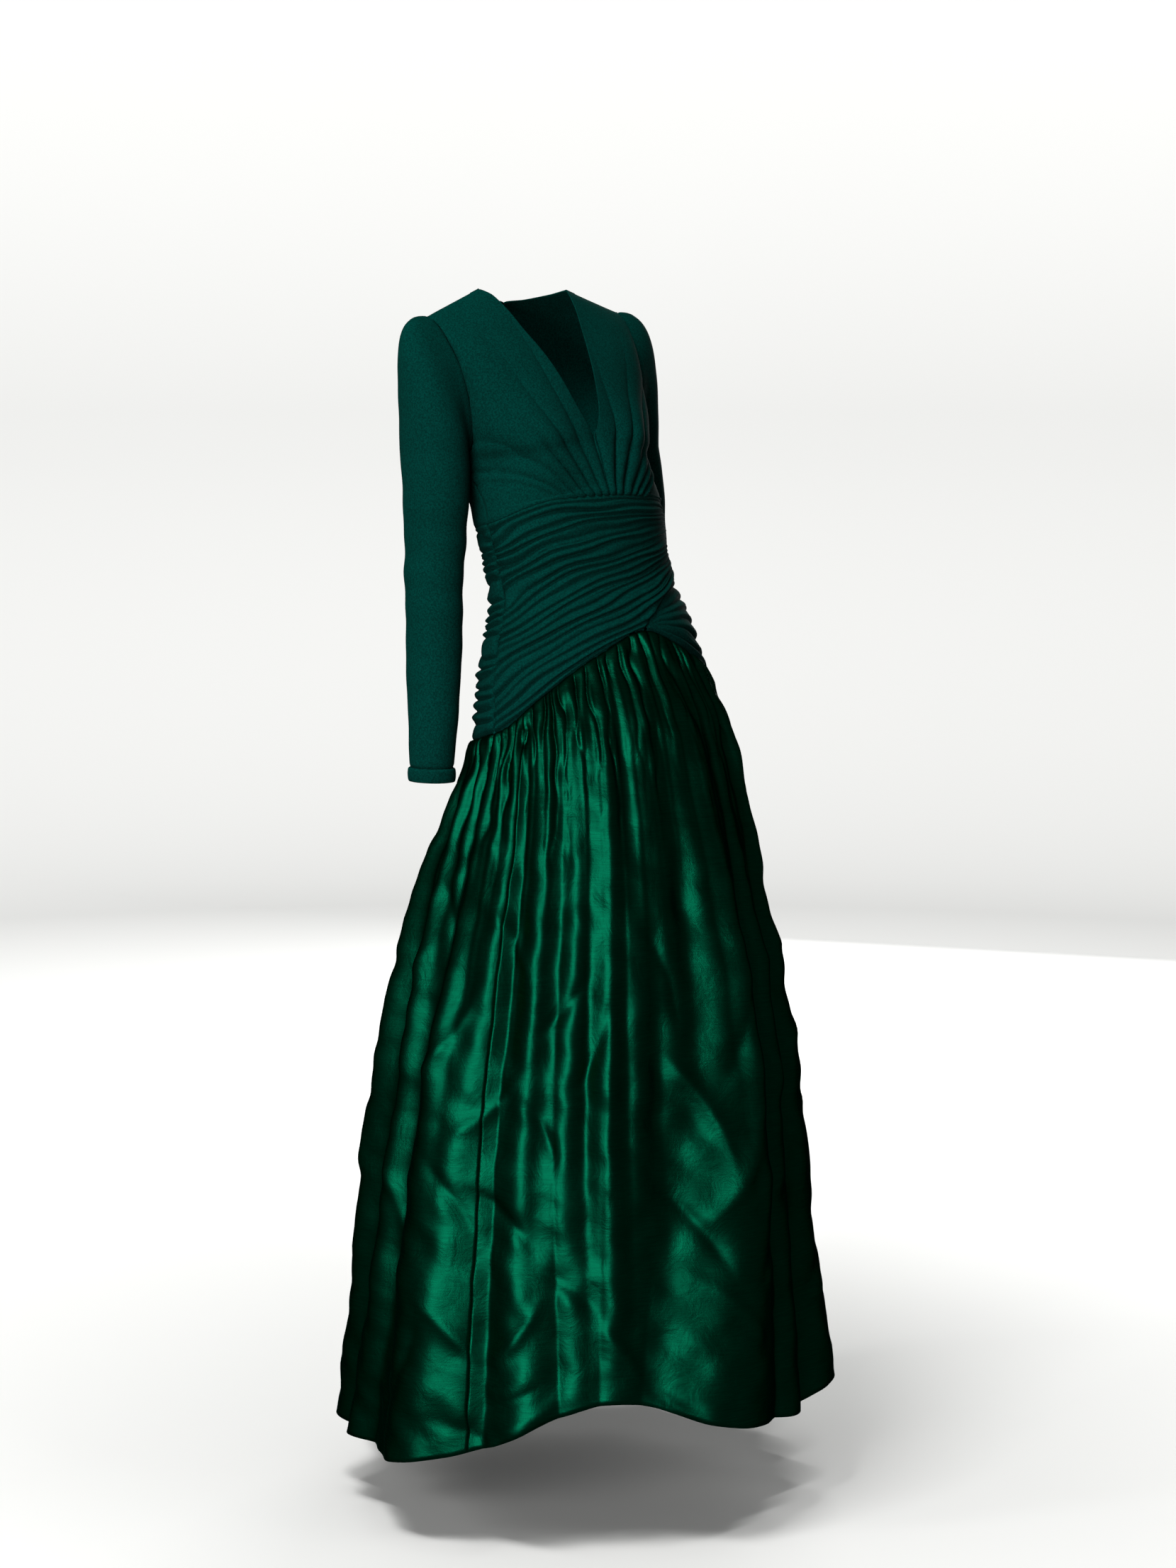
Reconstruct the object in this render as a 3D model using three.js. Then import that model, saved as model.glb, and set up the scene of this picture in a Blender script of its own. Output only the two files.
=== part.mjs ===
// Evening gown in its worn shape: wool jersey bodice with long sleeves, ruched midriff, gathered taffeta skirt.
// Millimetres. +Z up, the front faces -Y, the wearer's left is +X, the origin lies midway between the side-neck points.
import * as THREE from 'three';

// driving sizes
const jerseyWall = 1.5;
const taffetaWall = 1.3;
const seamInset = 0.2;            // each cut edge stands this far back from its seam line
const crossSeamInset = 0.35;      // the same at the underbust seam and the skirt seam

// colours
const jerseyColor = 0x0b4a42;
const taffetaColor = 0x02543a;

// torso under the cloth, a row for each level
const bodySections = [
  { z: -600, halfWidth: 180, halfDepth: 134, centreX: 15, centreY: -131 },
  { z: -544, halfWidth: 173, halfDepth: 126, centreX: 15, centreY: -131 },
  { z: -491, halfWidth: 163, halfDepth: 117, centreX: 14, centreY: -124 },
  { z: -465, halfWidth: 157, halfDepth: 111, centreX: 13, centreY: -120 },
  { z: -438, halfWidth: 149, halfDepth: 106, centreX: 12, centreY: -118 },
  { z: -412, halfWidth: 142, halfDepth: 102, centreX: 12, centreY: -116 },
  { z: -386, halfWidth: 133, halfDepth: 97, centreX: 12, centreY: -110 },
  { z: -359, halfWidth: 128, halfDepth: 93, centreX: 10, centreY: -101 },
  { z: -333, halfWidth: 129, halfDepth: 91, centreX: 8, centreY: -95 },
  { z: -289, halfWidth: 134, halfDepth: 89, centreX: 4, centreY: -87 },
  { z: -240, halfWidth: 136, halfDepth: 89, centreX: 1, centreY: -78 },
];

// seam lines round the body; the angle runs from centre front, positive to the wearer's left
const underbustLine = [
  { angle: -180, z: -292 },
  { angle: -130, z: -294 },
  { angle: -86, z: -286 },
  { angle: -33, z: -256 },
  { angle: 0, z: -251 },
  { angle: 50, z: -260 },
  { angle: 88, z: -277 },
  { angle: 130, z: -290 },
  { angle: 180, z: -292 },
];
const skirtLine = [
  { angle: -180, z: -560 },
  { angle: -135, z: -556 },
  { angle: -86, z: -536 },
  { angle: -55, z: -487 },
  { angle: -28, z: -444 },
  { angle: 0, z: -416 },
  { angle: 28, z: -441 },
  { angle: 57, z: -472 },
  { angle: 88, z: -524 },
  { angle: 135, z: -552 },
  { angle: 180, z: -560 },
];
const crossingLine = [
  { angle: 0, z: -416 },
  { angle: 8, z: -397 },
  { angle: 17, z: -384 },
  { angle: 34, z: -370 },
  { angle: 55, z: -360 },
  { angle: 88, z: -350 },
];
const sideSeam = [
  { z: -560, angle: 87 },
  { z: -440, angle: 90 },
  { z: -340, angle: 88 },
  { z: -240, angle: 85 },
];

// bodice, right half: the neckline and centre front on one edge, the armhole and side seam on the other
const sideSpan = 132;
const frontRows = [
  { edgeX: 0, edgeY: -160, edgeZ: -229, sideX: 133, sideY: -84, sideZ: -262, fullness: 2.1 },
  { edgeX: 0, edgeY: -151, edgeZ: -207, sideX: 131, sideY: -65, sideZ: -238, fullness: 2.25 },
  { edgeX: 0, edgeY: -141, edgeZ: -185, sideX: 129, sideY: -43, sideZ: -212, fullness: 2.35 },
  { edgeX: 8, edgeY: -136, edgeZ: -168, sideX: 131, sideY: -61, sideZ: -194, fullness: 2.35 },
  { edgeX: 17, edgeY: -126, edgeZ: -145, sideX: 134, sideY: -67, sideZ: -165, fullness: 2.3 },
  { edgeX: 28, edgeY: -105, edgeZ: -106, sideX: 138, sideY: -62, sideZ: -125, fullness: 2.2 },
  { edgeX: 37.5, edgeY: -83, edgeZ: -76, sideX: 143, sideY: -48, sideZ: -87, fullness: 2.1 },
  { edgeX: 47, edgeY: -60, edgeZ: -50, sideX: 147, sideY: -35, sideZ: -66, fullness: 2 },
  { edgeX: 56, edgeY: -37, edgeZ: -24, sideX: 149, sideY: -25, sideZ: -53, fullness: 2 },
  { edgeX: 63.5, edgeY: -15, edgeZ: -6, sideX: 151, sideY: -14, sideZ: -43, fullness: 2 },
  { edgeX: 70.5, edgeY: 0, edgeZ: 0, sideX: 152, sideY: -4, sideZ: -38, fullness: 2 },
];
const backRows = [
  { edgeX: 0, edgeY: 14, edgeZ: -262, sideX: 133, sideY: -84, sideZ: -262, fullness: 2.1 },
  { edgeX: 0, edgeY: 28, edgeZ: -232, sideX: 131, sideY: -65, sideZ: -238, fullness: 2.3 },
  { edgeX: 0, edgeY: 38, edgeZ: -202, sideX: 129, sideY: -43, sideZ: -212, fullness: 2.4 },
  { edgeX: 0, edgeY: 47, edgeZ: -163, sideX: 132, sideY: -10, sideZ: -190, fullness: 2.5 },
  { edgeX: 0, edgeY: 51, edgeZ: -125, sideX: 137, sideY: 10, sideZ: -152, fullness: 2.4 },
  { edgeX: 0, edgeY: 50, edgeZ: -84, sideX: 142, sideY: 18, sideZ: -116, fullness: 2.2 },
  { edgeX: 0, edgeY: 46, edgeZ: -46, sideX: 146, sideY: 19, sideZ: -84, fullness: 2 },
  { edgeX: 0, edgeY: 40, edgeZ: -15, sideX: 149, sideY: 15, sideZ: -62, fullness: 2 },
  { edgeX: 30, edgeY: 34, edgeZ: -11, sideX: 150.5, sideY: 9, sideZ: -50, fullness: 2 },
  { edgeX: 56, edgeY: 19, edgeZ: -5, sideX: 151.5, sideY: 3, sideZ: -42, fullness: 2 },
  { edgeX: 70.5, edgeY: 0, edgeZ: 0, sideX: 152, sideY: -4, sideZ: -38, fullness: 2 },
];
const underarmRow = 2;            // row of both tables where the side seam meets the armhole
const shoulderLift = { right: 3, left: 12, from: 60, span: 90, below: -170, rise: 120 };
const bust = { x: 76, z: -192, reach: 40, rise: 46, depth: 17 };
const tucks = { count: 6, pitch: 13.6, depth: 2.4, top: -88, doubled: 52, mostOpen: 2 };   // pitch at the seam, doubled this far above it
const frontSideColumns = 6;
const backColumns = 9;

// sleeves, a row for each ring down the arm
const sleeveSections = [
  { drop: 205, out: 168, rightY: -37, leftY: -1, halfWidth: 38, halfDepth: 50 },
  { drop: 253, out: 172, rightY: -43, leftY: -9, halfWidth: 36.5, halfDepth: 47 },
  { drop: 300, out: 175, rightY: -46, leftY: -14, halfWidth: 34.5, halfDepth: 43 },
  { drop: 340, out: 178, rightY: -49, leftY: -20, halfWidth: 33, halfDepth: 40 },
  { drop: 390, out: 184, rightY: -55, leftY: -26, halfWidth: 33, halfDepth: 38.5 },
  { drop: 440, out: 190, rightY: -61, leftY: -32, halfWidth: 32, halfDepth: 37.5 },
  { drop: 490, out: 198, rightY: -71, leftY: -42, halfWidth: 30, halfDepth: 35.5 },
  { drop: 540, out: 206, rightY: -80, leftY: -51, halfWidth: 27.5, halfDepth: 32 },
  { drop: 577, out: 210.5, rightY: -83, leftY: -54, halfWidth: 25.7, halfDepth: 29.8 },
];
const sleeveTilt = 0.32;          // the upper rings lean in to the underarm
const sleeveHead = { out: 61, lift: 5, capRings: 5 };
const cuff = { top: 577, bottom: 594, proud: 1.5 };

// ruching
const frontFolds = 19;
const frontFoldDepth = 0.36;      // share of the fold pitch, crest to valley
const underFolds = 6;
const backFolds = 18;
const underFoldDepth = 4;
const backFoldDepth = 4.4;
const midriffColumns = 7;         // columns of the draped panel from the right side seam to centre front
const leftShares = [0.04, 0.1, 0.2, 0.36, 0.52, 0.68, 0.84, 1];
const backSpans = 6;
const waistLevel = -360;

// skirt
const columnCount = 128;
const panelColumns = 24;          // columns from centre front to each side seam of the skirt
const gatherDepth = 5;
const skirtSections = [
  { z: -1420, halfWidth: 304, halfDepth: 290, centreX: 12, centreY: -112 },
  { z: -1317, halfWidth: 294, halfDepth: 280, centreX: 12, centreY: -112 },
  { z: -1169, halfWidth: 276, halfDepth: 262, centreX: 12, centreY: -110 },
  { z: -1022, halfWidth: 257, halfDepth: 243, centreX: 12, centreY: -110 },
  { z: -876, halfWidth: 232, halfDepth: 220, centreX: 12, centreY: -115 },
  { z: -732, halfWidth: 203, halfDepth: 191, centreX: 12, centreY: -121 },
  { z: -640, halfWidth: 187, halfDepth: 163, centreX: 14, centreY: -128 },
  { z: -560, halfWidth: 173, halfDepth: 139, centreX: 15, centreY: -131 },
  { z: -440, halfWidth: 153, halfDepth: 112, centreX: 13, centreY: -120 },
];
const hemLine = [
  { angle: -180, z: -1398 },
  { angle: -140, z: -1412 },
  { angle: -112, z: -1418 },
  { angle: -94, z: -1416 },
  { angle: -76, z: -1399 },
  { angle: -62, z: -1378 },
  { angle: -46, z: -1338 },
  { angle: -33, z: -1322 },
  { angle: -24, z: -1328 },
  { angle: -12, z: -1350 },
  { angle: 0, z: -1364 },
  { angle: 22, z: -1376 },
  { angle: 40, z: -1360 },
  { angle: 75, z: -1366 },
  { angle: 110, z: -1388 },
  { angle: 180, z: -1398 },
];
const hemFolds = [
  { angle: -172, midAngle: -172, midHalfWidth: 12, halfWidth: 12, height: 24 },
  { angle: -150, midAngle: -150, midHalfWidth: 12, halfWidth: 12, height: 28 },
  { angle: -126, midAngle: -122, midHalfWidth: 11, halfWidth: 12, height: 26 },
  { angle: -111, midAngle: -98, midHalfWidth: 9, halfWidth: 8, height: 20 },
  { angle: -82, midAngle: -76, midHalfWidth: 16, halfWidth: 20, height: 34 },
  { angle: -54, midAngle: -57, midHalfWidth: 9, halfWidth: 11, height: 20 },
  { angle: -41, midAngle: -41, midHalfWidth: 8, halfWidth: 7, height: 16 },
  { angle: -32, midAngle: -27, midHalfWidth: 9, halfWidth: 5, height: 12 },
  { angle: -5, midAngle: 9, midHalfWidth: 17, halfWidth: 22, height: 36 },
  { angle: 17, midAngle: 25, midHalfWidth: 9, halfWidth: 9, height: 22 },
  { angle: 38, midAngle: 41, midHalfWidth: 12, halfWidth: 14, height: 32 },
  { angle: 60, midAngle: 60, midHalfWidth: 10, halfWidth: 10, height: 22 },
  { angle: 82, midAngle: 82, midHalfWidth: 13, halfWidth: 13, height: 30 },
  { angle: 104, midAngle: 104, midHalfWidth: 11, halfWidth: 11, height: 25 },
  { angle: 126, midAngle: 126, midHalfWidth: 12, halfWidth: 12, height: 29 },
  { angle: 150, midAngle: 150, midHalfWidth: 12, halfWidth: 12, height: 26 },
];
const skirtLevels = [0, 0.03, 0.085, 0.16, 0.26, 0.38, 0.52, 0.68, 0.84, 1];
const flareReach = 150;           // distance below the seam over which the gathers open to the full skirt

const degrees = Math.PI / 180;
const lerp = (a, b, t) => a + (b - a) * t;
const clamp01 = (t) => Math.min(Math.max(t, 0), 1);
const easeInOut = (t) => clamp01(t) * clamp01(t) * (3 - 2 * clamp01(t));

// value of one column of a table at a place along its key column, as a smooth curve without overshoot
function tableValue(rows, key, place, column) {
  const last = rows.length - 1;
  const x = Math.min(Math.max(place, rows[0][key]), rows[last][key]);
  let i = 0;
  while (i < last - 1 && rows[i + 1][key] < x) i += 1;
  const secant = (k) => (rows[k + 1][column] - rows[k][column]) / (rows[k + 1][key] - rows[k][key]);
  const slope = (k) => {
    if (k === 0) return secant(0);
    if (k === last) return secant(last - 1);
    const before = secant(k - 1);
    const after = secant(k);
    return before * after > 0 ? (2 * before * after) / (before + after) : 0;
  };
  const span = rows[i + 1][key] - rows[i][key];
  const t = (x - rows[i][key]) / span;
  const t2 = t * t;
  const t3 = t2 * t;
  return (2 * t3 - 3 * t2 + 1) * rows[i][column] + (t3 - 2 * t2 + t) * span * slope(i)
    + (3 * t2 - 2 * t3) * rows[i + 1][column] + (t3 - t2) * span * slope(i + 1);
}

function sectionAt(rows, z) {
  const section = {};
  for (const column of ['halfWidth', 'halfDepth', 'centreX', 'centreY']) section[column] = tableValue(rows, 'z', z, column);
  return section;
}

// point on an elliptical section, and its level outward direction
function sectionPoint(section, angle, z, proud = 0) {
  const across = Math.sin(angle * degrees);
  const ahead = -Math.cos(angle * degrees);
  const out = new THREE.Vector3(across / section.halfWidth, ahead / section.halfDepth, 0).normalize();
  const point = new THREE.Vector3(section.centreX + section.halfWidth * across, section.centreY + section.halfDepth * ahead, z);
  return { point: point.addScaledVector(out, proud), out };
}

// numeric normals of a grid of points; turn is 1 or -1 so that they face out of the garment
function gridNormals(grid, closed, turn) {
  const rows = grid.length;
  const columns = grid[0].length;
  return grid.map((row, i) => row.map((point, j) => {
    const up = new THREE.Vector3().subVectors(grid[Math.min(i + 1, rows - 1)][j], grid[Math.max(i - 1, 0)][j]);
    const nextColumn = closed ? (j + 1) % columns : Math.min(j + 1, columns - 1);
    const lastColumn = closed ? (j + columns - 1) % columns : Math.max(j - 1, 0);
    const along = new THREE.Vector3().subVectors(row[nextColumn], row[lastColumn]);
    return along.cross(up).multiplyScalar(turn).normalize();
  }));
}

// draws the named edges of a grid back from their seam lines
function insetEdges(grid, insets) {
  const rows = grid.length;
  const columns = grid[0].length;
  const moved = grid.map((row) => row.map((point) => point.clone()));
  const draw = (i, j, k, l, distance) => {
    const step = new THREE.Vector3().subVectors(grid[k][l], grid[i][j]);
    moved[i][j].addScaledVector(step.normalize(), distance);
  };
  for (let j = 0; j < columns; j += 1) {
    if (insets.first) draw(0, j, 1, j, insets.first);
    if (insets.last) draw(rows - 1, j, rows - 2, j, insets.last);
  }
  for (let i = 0; i < rows; i += 1) {
    if (insets.start) draw(i, 0, i, 1, insets.start);
    if (insets.end) draw(i, columns - 1, i, columns - 2, insets.end);
  }
  return moved;
}

// cloth of one wall thickness behind a grid of outer points, with every edge closed
function clothPiece(name, color, grid, normals, wall, closed = false) {
  const rows = grid.length;
  const columns = grid[0].length;
  const positions = [];
  for (const row of grid) for (const point of row) positions.push(...point.toArray());
  grid.forEach((row, i) => row.forEach((point, j) => {
    positions.push(...point.clone().addScaledVector(normals[i][j], -wall).toArray());
  }));
  const outer = (i, j) => i * columns + (j % columns);
  const inner = (i, j) => rows * columns + outer(i, j);
  const faces = [];
  const quad = (a, b, c, d) => faces.push(a, b, c, a, c, d);
  const spans = closed ? columns : columns - 1;
  for (let i = 0; i < rows - 1; i += 1) {
    for (let j = 0; j < spans; j += 1) {
      quad(outer(i, j), outer(i, j + 1), outer(i + 1, j + 1), outer(i + 1, j));
      quad(inner(i, j), inner(i + 1, j), inner(i + 1, j + 1), inner(i, j + 1));
    }
  }
  for (let j = 0; j < spans; j += 1) {
    quad(outer(0, j + 1), outer(0, j), inner(0, j), inner(0, j + 1));
    quad(outer(rows - 1, j), outer(rows - 1, j + 1), inner(rows - 1, j + 1), inner(rows - 1, j));
  }
  if (!closed) {
    for (let i = 0; i < rows - 1; i += 1) {
      quad(outer(i, 0), outer(i + 1, 0), inner(i + 1, 0), inner(i, 0));
      quad(outer(i + 1, columns - 1), outer(i, columns - 1), inner(i, columns - 1), inner(i + 1, columns - 1));
    }
  }
  // the faces run the other way round where the grid runs against the normals
  const i = Math.floor(rows / 2);
  const j = Math.floor(columns / 2);
  const along = new THREE.Vector3().subVectors(grid[i][j + 1], grid[i][j]);
  const up = new THREE.Vector3().subVectors(grid[i][j], grid[i - 1][j]);
  if (along.cross(up).dot(normals[i][j]) < 0) {
    for (let k = 0; k < faces.length; k += 3) [faces[k + 1], faces[k + 2]] = [faces[k + 2], faces[k + 1]];
  }
  const geometry = new THREE.BufferGeometry();
  geometry.setAttribute('position', new THREE.Float32BufferAttribute(positions, 3));
  geometry.setIndex(faces);
  geometry.computeVertexNormals();
  const material = new THREE.MeshStandardMaterial({ color, roughness: 0.8, side: THREE.DoubleSide });
  const mesh = new THREE.Mesh(geometry, material);
  mesh.name = name;
  return mesh;
}

// one half of the bodice front or back; side is -1 on the wearer's right, 1 on the left
function bodicePanel(rows, columnShares, side, isFront) {
  const facing = isFront ? 1 : -1;
  const sideAngle = tableValue(sideSeam, 'z', -286, 'angle') * side;
  const centreAngle = isFront ? 0 : 180 * side;
  const ringPoint = (share) => {
    const angle = lerp(centreAngle, sideAngle, Math.asin(share) / (Math.PI / 2));
    const z = tableValue(underbustLine, 'angle', angle, 'z');
    return sectionPoint(sectionAt(bodySections, z), angle, z);
  };
  const seamLevel = tableValue(underbustLine, 'angle', centreAngle, 'z');
  const fanned = (share, row) => {
    const open = isFront ? Math.min((row.edgeZ - seamLevel) / tucks.doubled, tucks.mostOpen) : 0;
    return (share * (1 + open)) / (1 + share * open);
  };
  const sway = (z) => tableValue(bodySections, 'z', -289, 'centreX') * clamp01((-200 - z) / 60);
  const arcPoint = (row, share) => {
    const fall = Math.pow(Math.max(1 - Math.pow(share, row.fullness), 0), 1 / row.fullness);
    const x = lerp(row.edgeX, row.sideX, share);
    const z = lerp(row.edgeZ, row.sideZ, share);
    const swell = isFront ? bust.depth * Math.exp(-(((x - bust.x) / bust.reach) ** 2) - ((z - bust.z) / bust.rise) ** 2) : 0;
    const y = row.sideY + (row.edgeY - row.sideY) * fall - swell * (1 - share ** 4) * Math.min(1, share * 5);
    const lift = (side < 0 ? shoulderLift.right : shoulderLift.left)
      * clamp01((x - shoulderLift.from) / shoulderLift.span) * clamp01((z - shoulderLift.below) / shoulderLift.rise);
    return new THREE.Vector3(x * side + sway(z), y, z + lift);
  };
  const ring = columnShares.map(ringPoint);
  const grid = [ring.map(({ point }) => point)];
  for (const row of rows) grid.push(columnShares.map((share) => arcPoint(row, fanned(share, row))));
  const normals = gridNormals(grid, false, side * facing);
  normals[0] = ring.map(({ out }) => out);
  // tucks fan up from the underbust seam and die out toward the shoulder
  if (isFront) {
    for (let i = 0; i < grid.length; i += 1) {
      for (let j = 0; j <= 2 * tucks.count; j += 1) {
        const fade = clamp01((tucks.top - grid[i][j].z) / (tucks.top - bust.z + tucks.pitch * 4)) ** 1.4;
        const crest = j % 2 === 1 ? 1 : 0;
        grid[i][j].addScaledVector(normals[i][j], tucks.depth * fade * (crest - (j === 0 ? 0 : 0.5)));
      }
    }
  }
  const centreRows = 1 + rows.filter((row) => row.edgeX === 0).length;
  return { grid, normals, centreRows };
}

// column shares of a bodice front: two to each tuck, then wider ones to the side seam
function frontShares() {
  const shares = [];
  for (let j = 0; j <= 2 * tucks.count; j += 1) shares.push((j * tucks.pitch) / 2 / sideSpan);
  const start = Math.asin(shares[shares.length - 1]);
  for (let j = 1; j <= frontSideColumns; j += 1) shares.push(Math.sin(lerp(start, Math.PI / 2, j / frontSideColumns)));
  return shares;
}

function backShares() {
  const shares = [];
  for (let j = 0; j < backColumns; j += 1) shares.push(Math.sin((j / (backColumns - 1)) * Math.PI / 2));
  return shares;
}

// bodice halves and sleeve of one side share the directions of their walls at every seam
function bodiceSide(side, word) {
  const front = bodicePanel(frontRows, frontShares(), side, true);
  const back = bodicePanel(backRows, backShares(), side, false);
  const frontLast = front.grid[0].length - 1;
  const backLast = back.grid[0].length - 1;
  const rowCount = front.grid.length;
  const underarm = underarmRow + 1;
  const armholeCentre = new THREE.Vector3();
  for (let i = underarm; i < rowCount; i += 1) armholeCentre.add(front.grid[i][frontLast]).add(back.grid[i][backLast]);
  armholeCentre.multiplyScalar(1 / (2 * (rowCount - underarm)));

  const shoulder = new THREE.Vector3(0.25 * side, 0, 0.97).normalize();
  for (const panel of [front, back]) {
    for (let i = 0; i < panel.centreRows; i += 1) panel.normals[i][0].setX(0).normalize();
    panel.normals[rowCount - 1] = panel.normals[rowCount - 1].map(() => shoulder.clone());
  }
  for (let i = 0; i <= underarm; i += 1) {
    const shared = front.normals[i][frontLast].clone().add(back.normals[i][backLast]).normalize();
    front.normals[i][frontLast].copy(shared);
    back.normals[i][backLast].copy(shared);
  }
  // armhole loop from the underarm up the front, over the shoulder and down the back
  const loop = [];
  for (let i = underarm; i < rowCount; i += 1) loop.push({ panel: front, i, j: frontLast, turn: (i - underarm) / (rowCount - 1 - underarm) });
  for (let i = rowCount - 2; i > underarm; i -= 1) loop.push({ panel: back, i, j: backLast, turn: 2 - (i - underarm) / (rowCount - 1 - underarm) });
  const rim = loop.map(({ panel, i, j, turn }) => {
    const point = panel.grid[i][j].clone();
    const away = point.clone().sub(armholeCentre).setX(0).normalize();
    const direction = panel.normals[i][j].clone().add(away).normalize();
    panel.normals[i][j].copy(direction);
    return { point, direction, turn };
  });
  back.normals[underarm][backLast].copy(front.normals[underarm][frontLast]);
  back.normals[rowCount - 1][backLast].copy(front.normals[rowCount - 1][frontLast]);

  const edges = { first: crossSeamInset, last: seamInset, end: seamInset };
  const drawIn = (panel) => {
    const grid = insetEdges(panel.grid, edges);
    for (let i = 0; i < panel.centreRows; i += 1) grid[i][0].x += seamInset * side;
    return grid;
  };
  return [
    clothPiece(`bodice_front_${word}`, jerseyColor, drawIn(front), front.normals, jerseyWall),
    clothPiece(`bodice_back_${word}`, jerseyColor, drawIn(back), back.normals, jerseyWall),
    ...sleevePieces(rim, side, word),
  ];
}

// sleeve from the armhole over the rounded head and down the arm, then the turned cuff band
function sleevePieces(rim, side, word) {
  const armY = side < 0 ? 'rightY' : 'leftY';
  const ringPoint = (drop, turn, proud = 0) => {
    const value = (column) => tableValue(sleeveSections, 'drop', drop, column);
    const angle = turn * Math.PI;
    const inward = Math.cos(angle);
    const tilt = sleeveTilt * clamp01((400 - drop) / 200);
    const x = value('out') - (value('halfWidth') + proud) * inward;
    const y = value(armY) - (value('halfDepth') + proud) * Math.sin(angle);
    return new THREE.Vector3(x * side, y, -drop - value('halfWidth') * inward * tilt);
  };
  const grid = [rim.map(({ point }) => point.clone())];
  const firstDrop = sleeveSections[0].drop;
  for (let k = 1; k <= sleeveHead.capRings; k += 1) {
    const t = k / sleeveHead.capRings;
    grid.push(rim.map(({ point, turn }) => {
      const target = ringPoint(firstDrop, turn);
      const over = (1 - Math.cos(turn * Math.PI)) / 2;
      const leave = point.clone().add(new THREE.Vector3(side * lerp(3, sleeveHead.out, over), 0, sleeveHead.lift * over));
      const arrive = target.clone().add(new THREE.Vector3(0, 0, (point.z - target.z) * lerp(0.3, 0.7, over)));
      const curve = new THREE.CubicBezierCurve3(point, leave, arrive, target);
      return curve.getPoint(t);
    }));
  }
  for (let k = 1; k < sleeveSections.length; k += 1) grid.push(rim.map(({ turn }) => ringPoint(sleeveSections[k].drop, turn)));
  const normals = gridNormals(grid, true, -side);
  normals[0] = rim.map(({ direction }) => direction.clone());
  const lastRow = grid.length - 1;
  const cuffGrid = [cuff.top, (cuff.top + cuff.bottom) / 2, cuff.bottom].map((drop) => rim.map(({ turn }) => {
    const point = ringPoint(cuff.top, turn, cuff.proud);
    point.z = -drop;
    return point;
  }));
  const cuffNormals = gridNormals(cuffGrid, true, -side).map((row) => row.map((v) => v.setZ(0).normalize()));
  normals[lastRow] = normals[lastRow].map((v) => v.setZ(0).normalize());
  return [
    clothPiece(`sleeve_${word}`, jerseyColor, insetEdges(grid, { first: seamInset, last: seamInset }), normals, jerseyWall, true),
    clothPiece(`cuff_${word}`, jerseyColor, insetEdges(cuffGrid, { first: seamInset }), cuffNormals, jerseyWall, true),
  ];
}

// place round the body: share 0 is centre front, 1 the side seam, 2 centre back, negative on the wearer's right
function bodyAngle(share, z) {
  const seam = tableValue(sideSeam, 'z', z, 'angle');
  const turn = Math.abs(share);
  return Math.sign(share) * (turn <= 1 ? turn * seam : lerp(seam, 180, turn - 1));
}

// level of a seam line where it crosses one column of the body
function lineLevel(line, share) {
  const nearly = tableValue(line, 'angle', bodyAngle(share, waistLevel), 'z');
  return tableValue(line, 'angle', bodyAngle(share, nearly), 'z');
}

// ruched panel between two lines round the body, two rows to each fold
function ruchedPanel(name, shares, upper, lower, folds, depthAt, insets) {
  const rowCount = 2 * folds + 1;
  const grid = [];
  const normals = [];
  for (let i = 0; i < rowCount; i += 1) {
    const row = [];
    const directions = [];
    for (const share of shares) {
      const topZ = lineLevel(upper, share);
      const bottomZ = lineLevel(lower(share), share);
      const z = lerp(topZ, bottomZ, i / (rowCount - 1));
      const atEdge = i === 0 || i === rowCount - 1;
      const crest = atEdge ? 0 : (i % 2 === 1 ? 0.5 : -0.5);
      const depth = depthAt((topZ - bottomZ) / folds, share);
      const { point, out } = sectionPoint(sectionAt(bodySections, z), bodyAngle(share, z), z, depth * crest);
      row.push(point);
      directions.push(out);
    }
    grid.push(row);
    normals.push(directions);
  }
  return clothPiece(name, jerseyColor, insetEdges(grid, insets), normals, jerseyWall);
}

const rightShares = [];
for (let j = 0; j < midriffColumns; j += 1) rightShares.push(j / midriffColumns - 1);
const backShareList = [];
for (let j = 0; j <= backSpans; j += 1) backShareList.push(1 + j / backSpans);

// corners of the midriff's lower edge, which the gathered edge of the skirt follows
const edgeCorners = [...backShareList.map((share) => -share), ...rightShares.slice(1), 0, ...leftShares, ...backShareList.slice(1)]
  .map((share) => {
    const z = lineLevel(skirtLine, share);
    return { angle: bodyAngle(share, z), z };
  })
  .sort((a, b) => a.angle - b.angle);

function skirtEdgeLevel(angle) {
  let i = 0;
  while (i < edgeCorners.length - 2 && edgeCorners[i + 1].angle < angle) i += 1;
  const from = edgeCorners[i];
  const to = edgeCorners[i + 1];
  return lerp(from.z, to.z, clamp01((angle - from.angle) / (to.angle - from.angle)));
}

function midriffPieces() {
  const pieces = [];
  const seamed = { first: crossSeamInset, last: crossSeamInset, start: seamInset, end: seamInset };
  pieces.push(ruchedPanel('midriff_front', [...rightShares, 0, ...leftShares], underbustLine,
    (share) => (share < 0 ? skirtLine : crossingLine), frontFolds, (pitch) => pitch * frontFoldDepth, seamed));
  pieces.push(ruchedPanel('midriff_front_under', leftShares, crossingLine, () => skirtLine, underFolds,
    (pitch, share) => Math.min(pitch * frontFoldDepth, underFoldDepth) * share, { ...seamed, start: 0 }));
  for (const [side, word] of [[-1, 'right'], [1, 'left']]) {
    const shares = backShareList.map((share) => side * share);
    pieces.push(ruchedPanel(`midriff_back_${word}`, shares, underbustLine, () => skirtLine, backFolds,
      (pitch, share) => backFoldDepth * (1.35 - 0.35 * Math.abs(share)), seamed));
  }
  return pieces;
}

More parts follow.
